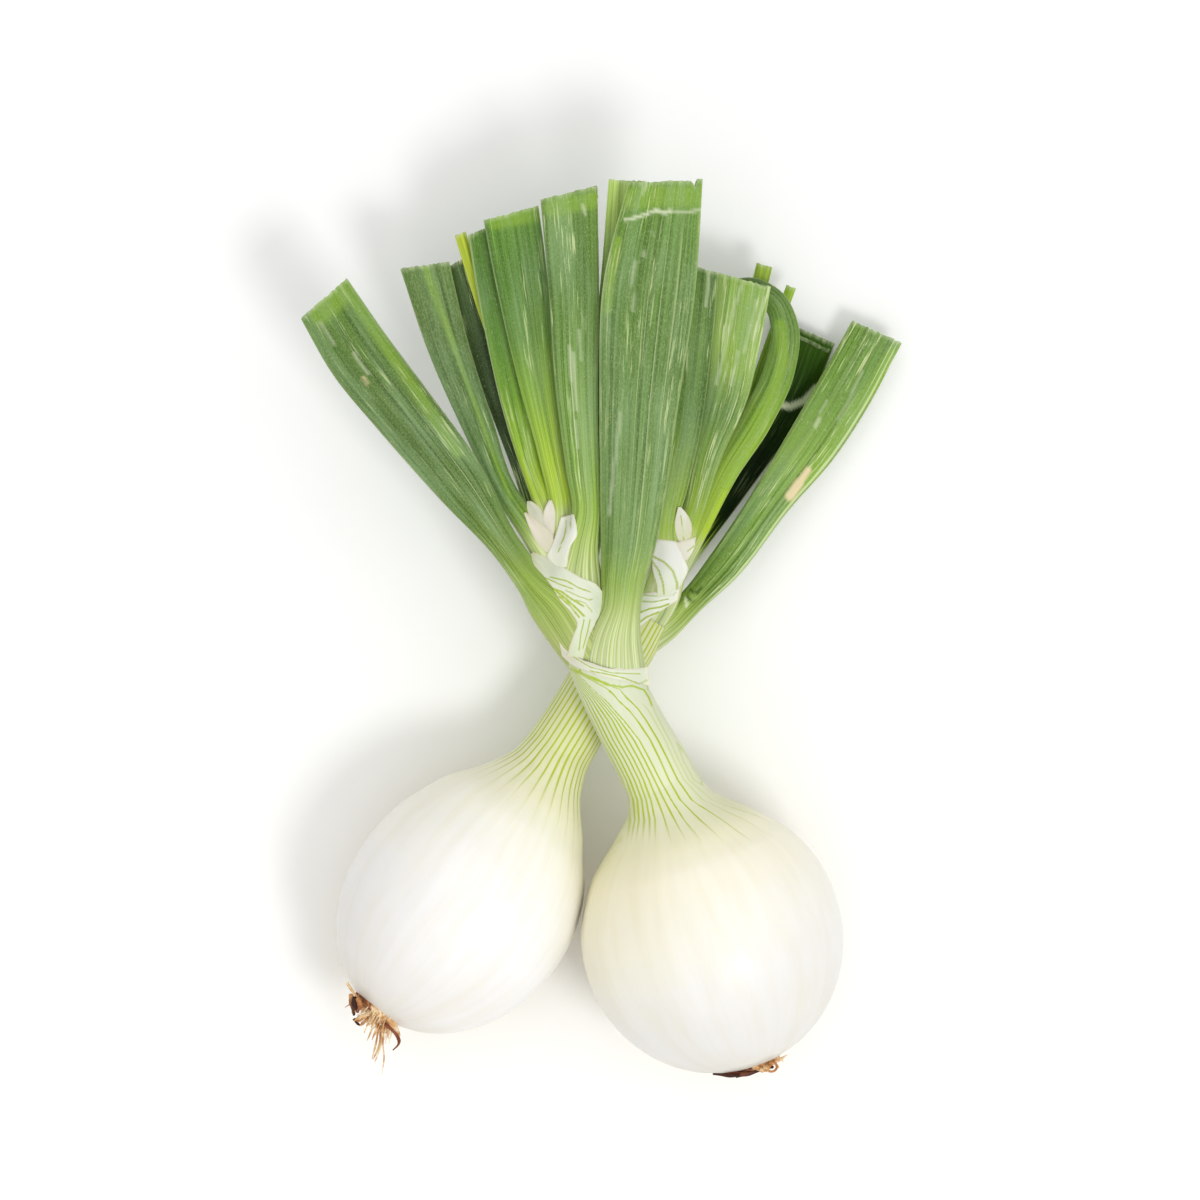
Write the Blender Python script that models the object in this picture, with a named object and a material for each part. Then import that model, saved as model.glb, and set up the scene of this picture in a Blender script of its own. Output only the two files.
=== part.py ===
"""Onion bunch: two fresh white onions lying with their necks crossed, their green tops cut off.

Millimetres in the tables, metres in the scene, +Z up. The bunch lies on the plane z = 0: each bulb
has a small flat spot there, and so has the lowest leaf's cut tip. The origin is on that plane under
the middle of the bunch, the root ends point to -Y and the leaves to +Y.
"""
import math
import random

import bmesh
import bpy
from mathutils import Vector

MM = 0.001
GAP = 0.4 * MM                  # room between a leaf and the stub of sheath that it grows from
BULB_SIDES = 24                 # sides round a bulb and its neck
SHEATH_SIDES = 14               # sides round a stub of sheath
BLADE_SIDES = 10                # sides round a leaf
BLADE_STEP = 9.0 * MM           # length of one section of a leaf
CUT_RAGGED = 0.5 * MM           # how uneven the cut ends of the leaves are
SHEATH_STEP = 5.0 * MM          # length of one section of a stub of sheath
SHARP_ANGLE = math.radians(50)  # edges sharper than this are shaded as edges
WELD = 0.01 * MM                # points nearer than this become one
ROOT_RINGS = 9                  # rings from the root end of a bulb to its widest place
LAY_DEPTH = 0.7 * MM            # depth of the flat spot that each bulb rests on
MIDDLE = (-1.6 * MM, 9.8 * MM)  # moves the tables' zero, where the necks cross, to the bunch's middle

# Each bulb: middle, widest radius, half length from the root end, unit direction to the neck,
# then shoulder and neck as (x, y, z, radius) up to where the leaves fan out.
FRONT_BULB = {
    "middle": (31.8, -95.9, 37.0),
    "radius": 37.0,
    "root_length": 38.0,
    "plate_radius": 8.5,
    "to_neck": (-0.305, 0.951, 0.055),
    "shoulder": [(26.8, -79.9, 33.5), (24.2, -72.0, 28.3), (22.6, -67.0, 23.2), (20.9, -61.9, 17.0),
                 (19.4, -57.3, 12.4), (17.4, -52.0, 10.4)],
    "shoulder_height": (38.0, 38.5, 38.9, 39.3, 39.7, 40.1),
    "neck": [(14.5, -46.0, 40.7, 10.0), (9.5, -37.0, 41.6, 9.6), (4.5, -27.0, 42.7, 9.4),
             (1.5, -19.5, 43.4, 9.7)],
}
BACK_BULB = {
    "middle": (-39.7, -86.5, 32.4),
    "radius": 32.4,
    "root_length": 38.8,
    "plate_radius": 8.0,
    "to_neck": (0.625, 0.775, -0.095),
    "shoulder": [(-31.5, -74.4, 30.3), (-25.5, -65.0, 25.0), (-21.5, -59.0, 19.6), (-18.4, -54.0, 15.0),
                 (-15.7, -49.6, 11.8), (-12.8, -44.6, 10.0)],
    "shoulder_height": (31.0, 29.8, 28.7, 27.6, 26.6, 25.4),
    "neck": [(-8.8, -38.2, 24.0, 9.4), (-4.0, -30.4, 22.6, 9.2), (1.5, -21.0, 21.8, 9.2),
             (7.0, -12.0, 21.5, 9.4), (12.0, -4.0, 21.8, 8.6)],
}

# Each leaf: the route as (x, y, z, heading in degrees from +Y to +X, width, thickness), from inside
# the neck to the cut tip. "sheath" is the place along the route, counted in rows, where the pale
# sheath that is one with the neck ends and the green leaf starts.
FRONT_LEAVES = [
    {"sheath": 1.7, "route": [
        (-3.0, -19.0, 39.0, -20, 8.5, 8.0), (-5.0, -3.0, 35.6, -8, 7.4, 6.6),
        (-3.0, 22.5, 37.2, 2, 8.5, 4.0), (1.5, 56.5, 43.5, 4, 10.7, 3.4),
        (5.5, 87.0, 47.0, 3, 11.2, 3.2), (7.5, 117.5, 50.5, 3, 10.1, 3.0)]},
    {"sheath": 4.6, "route": [
        (4.5, -29.5, 42.2, -14, 15.8, 15.5), (2.8, -19.0, 43.4, 4, 20.3, 18.0),
        (3.5, -10.5, 44.5, 5, 16.3, 16.5), (5.5, -3.0, 46.0, 8, 11.8, 13.0),
        (6.5, 5.5, 48.0, 3, 12.4, 9.5), (7.9, 15.5, 50.4, 3, 15.2, 6.0),
        (9.3, 32.0, 52.6, 3, 18.8, 4.2), (11.1, 58.5, 54.0, 3, 23.0, 3.6),
        (14.0, 89.5, 55.2, 3, 25.8, 3.4), (18.2, 116.5, 56.5, -1, 20.8, 3.0)]},
    {"sheath": 3.6, "route": [
        (1.5, -22.5, 42.5, -18, 13.0, 13.5), (-5.5, -11.5, 44.0, -18, 15.8, 15.0),
        (-11.5, -2.0, 45.0, -22, 16.3, 13.0), (-19.0, 5.2, 46.0, -36, 9.5, 9.5),
        (-25.5, 13.8, 46.8, -38, 8.6, 6.0), (-38.9, 32.6, 47.5, -37, 15.0, 4.4),
        (-55.2, 53.1, 47.0, -38, 17.6, 3.6), (-67.5, 68.8, 46.2, -37, 18.6, 3.4),
        (-77.6, 84.7, 45.5, -41, 17.3, 3.0)]},
    {"sheath": 3.5, "route": [
        (-3.5, -15.5, 43.5, -15, 12.4, 12.0), (-5.5, -3.5, 44.5, -12, 14.1, 13.5),
        (-7.5, 5.0, 45.7, -8, 16.3, 12.0), (-6.2, 14.0, 48.0, -2, 11.4, 7.4),
        (-4.0, 24.0, 49.8, 0, 7.8, 4.8), (-4.9, 36.5, 50.4, -2, 9.2, 4.0),
        (-6.5, 58.5, 50.6, -3, 11.7, 3.6), (-7.3, 87.0, 50.8, -3, 14.4, 3.4),
        (-8.7, 114.0, 51.0, -14, 16.3, 3.0)]},
    {"sheath": 3.4, "route": [
        (-7.5, -0.5, 43.5, -18, 9.6, 9.5), (-13.0, 11.5, 44.2, -25, 10.1, 9.0),
        (-18.5, 19.0, 44.0, -30, 7.9, 7.0), (-26.0, 29.5, 42.8, -28, 6.4, 5.0),
        (-34.5, 49.5, 41.4, -25, 9.0, 3.8), (-43.0, 72.0, 40.0, -20, 11.9, 3.4),
        (-49.5, 94.5, 38.5, -8, 14.1, 3.0)]},
    {"sheath": 2.5, "route": [
        (-9.0, 5.5, 44.3, -14, 7.9, 8.0), (-10.6, 17.5, 43.8, -8, 8.2, 6.8),
        (-11.0, 27.0, 44.0, -5, 7.0, 5.0), (-13.5, 39.5, 44.6, -8, 7.3, 3.8),
        (-17.5, 60.5, 45.0, -9, 10.3, 3.4), (-21.2, 84.5, 45.2, -9, 14.0, 3.2),
        (-25.0, 108.7, 45.4, -15, 15.8, 3.0)]},
    {"sheath": 2.1, "route": [
        (-12.5, 10.0, 43.0, -15, 5.6, 6.0), (-16.8, 22.0, 40.6, -20, 6.2, 5.0),
        (-21.6, 36.5, 36.2, -18, 6.0, 3.2), (-29.5, 60.5, 35.2, -16, 7.9, 3.2),
        (-40.0, 96.0, 34.6, -28, 7.9, 3.0)]},
    {"sheath": 2.0, "route": [
        (-11.0, 12.5, 43.6, -12, 5.1, 6.0), (-14.5, 24.0, 42.4, -12, 6.0, 5.4),
        (-18.9, 35.5, 40.9, -14, 5.6, 3.6), (-24.0, 56.5, 40.4, -13, 8.2, 3.2),
        (-28.8, 80.5, 40.2, -12, 9.4, 3.0), (-33.3, 104.5, 40.0, -24, 8.5, 3.0)]},
    {"sheath": 1.2, "route": [
        (-14.0, 19.5, 41.0, -12, 2.6, 3.0), (-17.6, 34.5, 38.3, -14, 2.2, 1.2),
        (-25.5, 59.5, 37.7, -17, 2.5, 1.2), (-33.0, 81.5, 37.4, -17, 2.8, 1.2),
        (-39.5, 103.5, 37.4, -20, 3.4, 1.2)]},
]
BACK_LEAVES = [
    {"sheath": 2.2, "route": [
        (9.0, -13.0, 21.2, 35, 12.0, 12.0), (18.0, -8.0, 20.5, 45, 8.6, 9.5),
        (26.0, -0.5, 18.6, 48, 7.6, 7.5), (35.3, 9.6, 16.6, 44, 10.0, 5.6),
        (49.6, 29.3, 13.0, 36, 11.6, 4.2), (61.1, 45.0, 10.6, 34, 15.0, 3.6),
        (70.4, 60.0, 9.4, 31, 16.4, 3.4), (79.8, 77.2, 9.6, 24, 16.0, 3.0)]},
    {"sheath": 3.0, "route": [
        (8.5, -12.0, 22.0, 28, 12.6, 13.0), (16.5, 3.0, 23.5, 14, 13.7, 13.0),
        (18.5, 10.5, 24.6, 12, 12.0, 10.0), (17.8, 18.5, 26.8, 8, 9.1, 5.6),
        (20.0, 34.0, 29.0, 9, 10.8, 4.2), (23.0, 51.0, 30.2, 8, 11.9, 3.6),
        (25.5, 74.0, 31.0, 7, 13.1, 3.4), (27.0, 94.5, 31.6, 15, 13.6, 3.0)]},
    {"sheath": 1.4, "route": [
        (18.5, 4.5, 21.0, 25, 8.0, 9.0), (24.0, 13.0, 15.6, 34, 8.2, 6.0),
        (34.0, 28.0, 7.8, 36, 10.3, 4.2), (43.0, 43.0, 4.0, 34, 13.5, 3.8),
        (48.5, 52.0, 1.5, 32, 15.5, 3.8), (54.5, 63.0, 1.4, 30, 16.7, 3.8),
        (59.8, 77.5, 6.0, 24, 17.6, 3.0)]},
    {"sheath": 1.5, "route": [
        (19.5, 6.0, 23.8, 20, 8.0, 9.0), (24.4, 18.0, 23.6, 16, 5.8, 4.8),
        (27.0, 27.0, 24.6, 15, 6.0, 4.0), (30.2, 40.0, 25.6, 15, 8.0, 3.8),
        (36.3, 59.5, 26.6, 14, 12.6, 3.4), (39.0, 77.0, 27.4, 12, 14.8, 3.4),
        (41.0, 91.0, 28.0, 15, 15.5, 3.0)]},
    {"sheath": 1.6, "route": [
        (20.5, 6.0, 21.8, 25, 7.0, 8.0), (28.4, 21.0, 18.8, 27, 6.3, 5.2),
        (35.5, 36.5, 18.8, 30, 8.0, 5.0), (45.0, 52.0, 20.0, 28, 9.1, 4.8),
        (51.5, 66.5, 21.0, 12, 8.8, 4.8), (52.8, 78.0, 21.0, -12, 8.0, 4.8),
        (49.6, 85.6, 20.8, -45, 6.9, 4.8), (43.5, 88.8, 20.4, -82, 6.9, 4.4),
        (36.5, 87.8, 19.8, -105, 7.2, 3.8)]},
    {"sheath": 1.2, "route": [
        (21.5, 9.5, 21.3, 15, 4.0, 5.0), (23.4, 21.0, 19.7, 15, 3.2, 3.0),
        (26.6, 32.0, 19.5, 18, 3.6, 3.2), (33.0, 48.0, 18.8, 18, 4.2, 3.2),
        (39.5, 66.0, 17.0, 15, 4.6, 3.2), (47.2, 96.0, 14.8, 18, 4.9, 3.0)]},
    {"sheath": 0.95, "route": [
        (26.5, 16.0, 18.0, 28, 3.0, 3.0), (31.3, 25.5, 14.6, 28, 2.8, 2.0),
        (38.5, 43.0, 12.6, 24, 2.8, 2.2), (48.0, 71.5, 11.6, 22, 2.8, 2.2),
        (55.0, 90.0, 11.2, 22, 3.0, 2.2)]},
]

# Materials as (red, green, blue) in sRGB from 0 to 255, then roughness.
SKIN = ("onion_skin", (243, 241, 230), 0.35)
LEAF = ("onion_leaf", (82, 122, 70), 0.50)
ROOT = ("dry_root", (178, 142, 100), 0.85)

# The dry roots on each basal plate: how many, their shortest and longest length, their thickness,
# how far they spread, and which way their tips lean, for each unit of length.
FRONT_ROOTS = {"count": 12, "length": (1.0, 2.6), "thickness": 1.1, "spread": 0.9,
               "lean": (0.3, -0.3, -0.2)}
BACK_ROOTS = {"count": 18, "length": (4.0, 12.5), "thickness": 1.0, "spread": 0.35,
              "lean": (0.75, -0.3, -0.7)}
PLATE_THICKNESS = 2.2 * MM
PLATE_GAP = 0.3 * MM            # room between a bulb and its plate
PLATE_WIDE, PLATE_NARROW = 0.98, 0.75   # shares of the plate radius at its two faces
PLATE_SIDES = 18
ROOT_REACH = 0.62               # share of the plate that the roots grow from
ROOT_DEPTH = 1.2                # how deep a root starts inside the plate, in millimetres
ROOT_TAPER = 0.35               # share of its thickness that a root loses towards its tip
ROOT_STEPS = 4                  # sections of a root
GOLDEN_TURN = math.radians(137.5)       # turn from one root to the next, so that they spread evenly


def linear(channel):
    """One sRGB channel from 0 to 255 as a linear value."""
    value = channel / 255.0
    if value <= 0.04045:
        return value / 12.92
    return ((value + 0.055) / 1.055) ** 2.4


def material(finish):
    """A Principled material for one of the finishes above, made once."""
    name, colour, roughness = finish
    found = bpy.data.materials.get(name)
    if found:
        return found
    made = bpy.data.materials.new(name)
    made.use_nodes = True
    shader = made.node_tree.nodes["Principled BSDF"]
    shader.inputs["Base Color"].default_value = (*[linear(part) for part in colour], 1.0)
    shader.inputs["Roughness"].default_value = roughness
    shader.inputs["Metallic"].default_value = 0.0
    return made


def new_collection(name):
    made = bpy.data.collections.new(name)
    bpy.context.scene.collection.children.link(made)
    return made


def solid(name, vertices, faces, collection, finish):
    """An object from a closed list of faces, shaded smooth with sharp edges kept."""
    mesh = bpy.data.meshes.new(name)
    mesh.from_pydata(vertices, [], faces)
    mesh.validate()
    mesh.shade_smooth()
    mesh.set_sharp_from_angle(angle=SHARP_ANGLE)
    made = bpy.data.objects.new(name, mesh)
    made.data.materials.append(material(finish))
    collection.objects.link(made)
    return made


def smooth_value(rows, place):
    """The row at a fractional place along a route, on a smooth curve through all its rows."""
    last = len(rows) - 1
    index = min(int(place), last - 1)
    part = place - index
    before, start = rows[max(index - 1, 0)], rows[index]
    end, after = rows[index + 1], rows[min(index + 2, last)]
    values = []
    for p0, p1, p2, p3 in zip(before, start, end, after):
        slope_in, slope_out = (p2 - p0) / 2, (p3 - p1) / 2
        a = 2 * p1 - 2 * p2 + slope_in + slope_out
        b = -3 * p1 + 3 * p2 - 2 * slope_in - slope_out
        values.append(((a * part + b) * part + slope_in) * part + p1)
    return values


def section(row, sides):
    """One closed ring of a leaf: an upright oval across its heading, never below the plane z = 0."""
    x, y, z, heading, width, thickness = row
    turn = math.radians(heading)
    across = Vector((math.cos(turn), -math.sin(turn), 0.0))
    ring = []
    for step in range(sides):
        angle = (step + 0.5) * math.tau / sides
        side = across * (width / 2 * math.cos(angle))
        point = Vector((x, y, z + thickness / 2 * math.sin(angle))) + side
        point.z = max(point.z, 0.0)
        ring.append(point * MM)
    return ring


def loft(name, rings, collection, finish):
    """A closed solid through rings of equal count, each end closed by a fan round its middle."""
    sides = len(rings[0])
    vertices = [point for ring in rings for point in ring]
    vertices.append(sum(rings[0], Vector()) / sides)
    vertices.append(sum(rings[-1], Vector()) / sides)
    first_middle, last_middle = len(vertices) - 2, len(vertices) - 1
    top = (len(rings) - 1) * sides
    faces = []
    for level in range(len(rings) - 1):
        for step in range(sides):
            here, beside = level * sides + step, level * sides + (step + 1) % sides
            faces.append((here, here + sides, beside + sides, beside))
    for step in range(sides):
        beside = (step + 1) % sides
        faces.append((first_middle, step, beside))
        faces.append((last_middle, top + beside, top + step))
    return solid(name, vertices, faces, collection, finish)


def places_along(rows, start, end, step):
    """Places from start to end of a route, about one step apart."""
    points = [Vector(smooth_value(rows, start + (end - start) * i / 40)[:3]) for i in range(41)]
    length = sum((b - a).length for a, b in zip(points, points[1:])) * MM
    count = max(3, round(length / step))
    return [start + (end - start) * i / count for i in range(count + 1)]


def sheath_stub(name, leaf, collection):
    """The pale lower part of a leaf, which is one with the neck."""
    rows = leaf["route"]
    places = places_along(rows, 0.0, leaf["sheath"], SHEATH_STEP)
    rings = [section(smooth_value(rows, place), SHEATH_SIDES) for place in places]
    return loft(name, rings, collection, SKIN)


def leaf_blade(name, leaf, collection, draw):
    """The green part of a leaf, a gap away from its stub, with an uneven cut across its tip."""
    rows = leaf["route"]
    last = len(rows) - 1
    stub_end = Vector(smooth_value(rows, leaf["sheath"])[:3])
    ahead = Vector(smooth_value(rows, min(leaf["sheath"] + 0.1, last))[:3])
    start = leaf["sheath"] + 0.1 * GAP / ((ahead - stub_end).length * MM)
    places = places_along(rows, start, last, BLADE_STEP)
    rings = [section(smooth_value(rows, place), BLADE_SIDES) for place in places]
    along = (rings[-1][0] - rings[-2][0]).normalized()
    for point in rings[-1]:
        point += along * draw.uniform(-CUT_RAGGED, CUT_RAGGED)
        point.z = max(point.z, 0.0)
    return loft(name, rings, collection, LEAF)


def bulb_rows(bulb):
    """Rows of (x, y, z, radius) from the flat root end of a bulb to the end of its neck."""
    middle, axis = Vector(bulb["middle"]), Vector(bulb["to_neck"]).normalized()
    lowered = Vector((0, 0, -LAY_DEPTH / MM))
    length, radius = bulb["root_length"], bulb["radius"]
    plate_angle = math.asin(bulb["plate_radius"] / radius)
    rows = []
    for step in range(ROOT_RINGS):
        angle = plate_angle + (math.pi / 2 - plate_angle) * step / (ROOT_RINGS - 1)
        place = middle + lowered - axis * (length * math.cos(angle))
        rows.append((*place, radius * math.sin(angle)))
    for (x, y, ring), z in zip(bulb["shoulder"], bulb["shoulder_height"]):
        rows.append((x, y, z - LAY_DEPTH / MM, ring))
    return rows + list(bulb["neck"])


def bulb_and_neck(name, bulb, collection):
    """A bulb with its neck: a curve with round sections of many radii, made a closed mesh."""
    rows = bulb_rows(bulb)
    curve = bpy.data.curves.new(name, "CURVE")
    curve.dimensions = "3D"
    curve.bevel_depth = 1.0
    curve.bevel_resolution = BULB_SIDES // 2 - 2
    curve.use_fill_caps = True
    curve.twist_mode = "Z_UP"
    spline = curve.splines.new("POLY")
    spline.points.add(len(rows) - 1)
    for point, (x, y, z, radius) in zip(spline.points, rows):
        point.co = (x * MM, y * MM, z * MM, 1.0)
        point.radius = radius * MM
    guide = bpy.data.objects.new(name + "_curve", curve)
    collection.objects.link(guide)
    mesh = as_mesh(guide)
    bpy.data.objects.remove(guide)
    made = bpy.data.objects.new(name, mesh)
    made.data.materials.clear()
    made.data.materials.append(material(SKIN))
    collection.objects.link(made)
    return made


def as_mesh(source):
    """The evaluated mesh of an object, with its loose caps welded."""
    bpy.context.view_layer.update()
    evaluated = source.evaluated_get(bpy.context.evaluated_depsgraph_get())
    mesh = bpy.data.meshes.new_from_object(evaluated)
    work = bmesh.new()
    work.from_mesh(mesh)
    bmesh.ops.remove_doubles(work, verts=work.verts, dist=WELD)
    bmesh.ops.recalc_face_normals(work, faces=work.faces)
    work.to_mesh(mesh)
    work.free()
    return mesh


def fuse(target, others, solver="EXACT"):
    """Joins every object of a collection to the target and removes them."""
    union = target.modifiers.new("union", "BOOLEAN")
    union.operation = "UNION"
    union.operand_type = "COLLECTION"
    union.collection = others
    union.solver = solver
    mesh = as_mesh(target)
    target.modifiers.clear()
    target.data = mesh
    for extra in list(others.objects):
        bpy.data.objects.remove(extra)


def lay_flat(target, floor):
    """Cuts away what would reach below the plane that the bunch lies on."""
    cut = target.modifiers.new("flat spot", "BOOLEAN")
    cut.operation = "DIFFERENCE"
    cut.object = floor
    cut.solver = "EXACT"


def root_end(bulb):
    """The middle of a bulb's flat root end, in millimetres, and the direction out of it."""
    outward = -Vector(bulb["to_neck"]).normalized()
    reach = bulb["root_length"] * math.cos(math.asin(bulb["plate_radius"] / bulb["radius"]))
    return Vector(bulb["middle"]) - Vector((0, 0, LAY_DEPTH / MM)) + outward * reach, outward


def basal_plate(name, bulb, collection):
    """The dry brown disc under a bulb, a gap away from its flat end."""
    middle, outward = root_end(bulb)
    mesh = bpy.data.meshes.new(name)
    work = bmesh.new()
    bmesh.ops.create_cone(work, cap_ends=True, segments=PLATE_SIDES, depth=PLATE_THICKNESS,
                          radius1=bulb["plate_radius"] * PLATE_WIDE * MM,
                          radius2=bulb["plate_radius"] * PLATE_NARROW * MM)
    work.to_mesh(mesh)
    work.free()
    made = bpy.data.objects.new(name, mesh)
    made.location = middle * MM + outward * (PLATE_GAP + PLATE_THICKNESS / 2)
    made.rotation_euler = outward.to_track_quat("Z", "Y").to_euler()
    made.data.materials.append(material(ROOT))
    collection.objects.link(made)
    return made


def root_fibre(name, start, direction, length, roots, collection):
    """One dry root: a thin four-sided tube that starts inside the plate and leans over."""
    curve = bpy.data.curves.new(name, "CURVE")
    curve.dimensions = "3D"
    curve.bevel_depth = 1.0
    curve.bevel_resolution = 0
    curve.use_fill_caps = True
    spline = curve.splines.new("POLY")
    spline.points.add(ROOT_STEPS)
    for step, point in enumerate(spline.points):
        part = step / ROOT_STEPS
        place = start + direction * (length * part) + Vector(roots["lean"]) * (length * part * part)
        point.co = (*(place * MM), 1.0)
        point.radius = roots["thickness"] / 2 * (1.0 - ROOT_TAPER * part) * MM
    guide = bpy.data.objects.new(name + "_curve", curve)
    collection.objects.link(guide)
    mesh = as_mesh(guide)
    bpy.data.objects.remove(guide)
    made = bpy.data.objects.new(name, mesh)
    collection.objects.link(made)


def root_tuft(name, bulb, roots, collection, joined, draw):
    """A basal plate with its dry roots, one solid."""
    plate = basal_plate(name, bulb, collection)
    middle, outward = root_end(bulb)
    across = outward.cross(Vector((0, 0, 1))).normalized()
    upward = across.cross(outward)
    for number in range(roots["count"]):
        turn = number * GOLDEN_TURN
        reach = bulb["plate_radius"] * ROOT_REACH * math.sqrt((number + 0.5) / roots["count"])
        aside = across * math.cos(turn) + upward * math.sin(turn)
        start = middle + aside * reach + outward * ((PLATE_GAP + PLATE_THICKNESS) / MM - ROOT_DEPTH)
        direction = (outward + aside * roots["spread"] * draw.uniform(0.5, 1.3)).normalized()
        length = draw.uniform(*roots["length"]) + ROOT_DEPTH
        root_fibre(f"{name}_fibre_{number}", start, direction, length, roots, joined)
    fuse(plate, joined, "MANIFOLD")


def onion(side, bulb, leaves, roots, collection, floor, draw):
    """One onion: its bulb with neck and sheaths, its leaves, and its roots on their plate."""
    joined = new_collection(side + "_joined")
    body = bulb_and_neck(side + "_bulb", bulb, collection)
    for number, leaf in enumerate(leaves, 1):
        sheath_stub(f"{side}_sheath_{number}", leaf, joined)
    fuse(body, joined)
    lay_flat(body, floor)
    for number, leaf in enumerate(leaves, 1):
        leaf_blade(f"{side}_leaf_{number}", leaf, collection, draw)
    root_tuft(side + "_roots", bulb, roots, collection, joined, draw)
    bpy.data.collections.remove(joined)


def main():
    for old in list(bpy.data.objects):
        bpy.data.objects.remove(old)
    draw = random.Random(7)
    collection = new_collection("onion_bunch")
    cutters = new_collection("cutters")
    bpy.ops.mesh.primitive_cube_add(size=0.5, location=(0.0, 0.0, -0.25))
    floor = bpy.context.object
    floor.name = "floor_cutter"
    for home in list(floor.users_collection):
        home.objects.unlink(floor)
    cutters.objects.link(floor)
    floor.hide_render = True
    floor.display_type = "WIRE"
    onion("front", FRONT_BULB, FRONT_LEAVES, FRONT_ROOTS, collection, floor, draw)
    onion("back", BACK_BULB, BACK_LEAVES, BACK_ROOTS, collection, floor, draw)
    bunch = bpy.data.objects.new("bunch", None)
    bunch.location = (*MIDDLE, 0.0)
    collection.objects.link(bunch)
    for piece in collection.objects:
        if piece is not bunch:
            piece.parent = bunch


main()
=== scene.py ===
# %% [markdown]
# An onion bunch
# Two fresh white onions lie with their necks crossed, and their green tops are cut off short. This
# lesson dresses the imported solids: each one is rebuilt with many more faces on the same route, and gets
# the finish that a fresh onion shows. Nothing is moved: every piece stands where its solid stands.

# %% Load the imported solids
import math
import random

import bmesh
import bpy
import numpy as np
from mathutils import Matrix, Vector
from mathutils.bvhtree import BVHTree


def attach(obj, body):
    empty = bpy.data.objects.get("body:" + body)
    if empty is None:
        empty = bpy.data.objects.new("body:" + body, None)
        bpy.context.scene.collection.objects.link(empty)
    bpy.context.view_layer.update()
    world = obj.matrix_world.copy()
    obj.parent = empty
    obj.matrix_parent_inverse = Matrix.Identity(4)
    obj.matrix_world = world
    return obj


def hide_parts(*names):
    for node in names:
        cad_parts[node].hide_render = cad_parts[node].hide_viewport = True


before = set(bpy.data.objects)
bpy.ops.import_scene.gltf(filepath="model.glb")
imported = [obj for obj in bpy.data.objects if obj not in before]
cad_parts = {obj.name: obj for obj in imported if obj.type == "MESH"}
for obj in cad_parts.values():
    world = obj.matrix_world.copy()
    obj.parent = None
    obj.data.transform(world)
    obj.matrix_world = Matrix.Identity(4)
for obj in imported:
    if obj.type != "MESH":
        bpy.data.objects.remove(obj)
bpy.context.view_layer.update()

# %% [markdown]
# The picture was taken from straight above, so the camera looks down along Z. All routes below are in
# millimetres from the point where the necks cross, and MIDDLE moves them to the frame's origin. Working
# in the picture's own pixels as well lets small marks be placed one by one and then dropped on the skin.

# %% Camera and units
MM = 0.001
MIDDLE = np.array((-1.6, 9.8, 0.0))
PIXEL = 0.29                # millimetres of floor under one pixel of the picture
PICTURE = 1200              # pixels along a side of the picture
CAMERA_HEIGHT = 1500.0      # millimetres over the floor
SENSOR = 36.0


def to_frame(points):
    """Route millimetres as metres in the frame."""
    return (np.asarray(points, float) + MIDDLE) * MM


def pixels_of(points):
    """The pixels where the camera sees points given in route millimetres."""
    points = np.asarray(points, float)
    scale = PIXEL * (1 - points[..., 2] / CAMERA_HEIGHT)
    return np.stack((PICTURE / 2 + points[..., 0] / scale, PICTURE / 2 - points[..., 1] / scale), -1)


camera_data = bpy.data.cameras.new("camera_above")
camera_data.sensor_width = SENSOR
camera_data.lens = SENSOR * CAMERA_HEIGHT / (PICTURE * PIXEL)
camera = bpy.data.objects.new("camera_above", camera_data)
camera.location = to_frame((0.0, 0.0, CAMERA_HEIGHT))
bpy.context.scene.collection.objects.link(camera)
bpy.context.scene.camera = camera
print("lens:", round(camera_data.lens, 2), "mm")

# %% [markdown]
# The light is a studio's: one broad softbox to the lower right of the picture, about thirty degrees off
# the vertical. A sun lamp would cast hard shadows. An area lamp gives them the soft edge that the picture
# shows, and its size sets how soft. The standard view keeps the whites of the paper white.

# %% Softbox
SOFTBOX_POWER = 4.5         # watts
SOFTBOX_SIDE = 0.30         # metres
SOFTBOX_WAY = Vector((0.39, -0.41, 1.0)).normalized()
SOFTBOX_DISTANCE = 1.25     # metres

softbox_data = bpy.data.lights.new("softbox", "AREA")
softbox_data.energy = SOFTBOX_POWER
softbox_data.shape = "SQUARE"
softbox_data.size = SOFTBOX_SIDE
softbox = bpy.data.objects.new("softbox", softbox_data)
softbox.location = SOFTBOX_WAY * SOFTBOX_DISTANCE
softbox.rotation_euler = SOFTBOX_WAY.to_track_quat("Z", "Y").to_euler()
bpy.context.scene.collection.objects.link(softbox)
bpy.context.scene.view_settings.view_transform = "Standard"
print("softbox at", [round(v, 3) for v in softbox.location])

# %% [markdown]
# A finish is a tree of shader nodes. One helper adds any node: its inputs may be numbers or the outputs
# of other nodes, and its settings are the node's own properties. Colours are written as sRGB hex, as a
# painter would pick them from a picture, and one function turns them into the linear values of a shader.

# %% Helpers for finishes
COLOUR, VECTOR, NUMBER = 0, 1, 2    # what an Attribute node gives at its outputs


def linear(shade):
    """An sRGB hex colour as three linear values."""
    channels = np.array([int(shade[place:place + 2], 16) for place in (0, 2, 4)]) / 255.0
    return np.where(channels <= 0.04045, channels / 12.92, ((channels + 0.055) / 1.055) ** 2.4)


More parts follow.
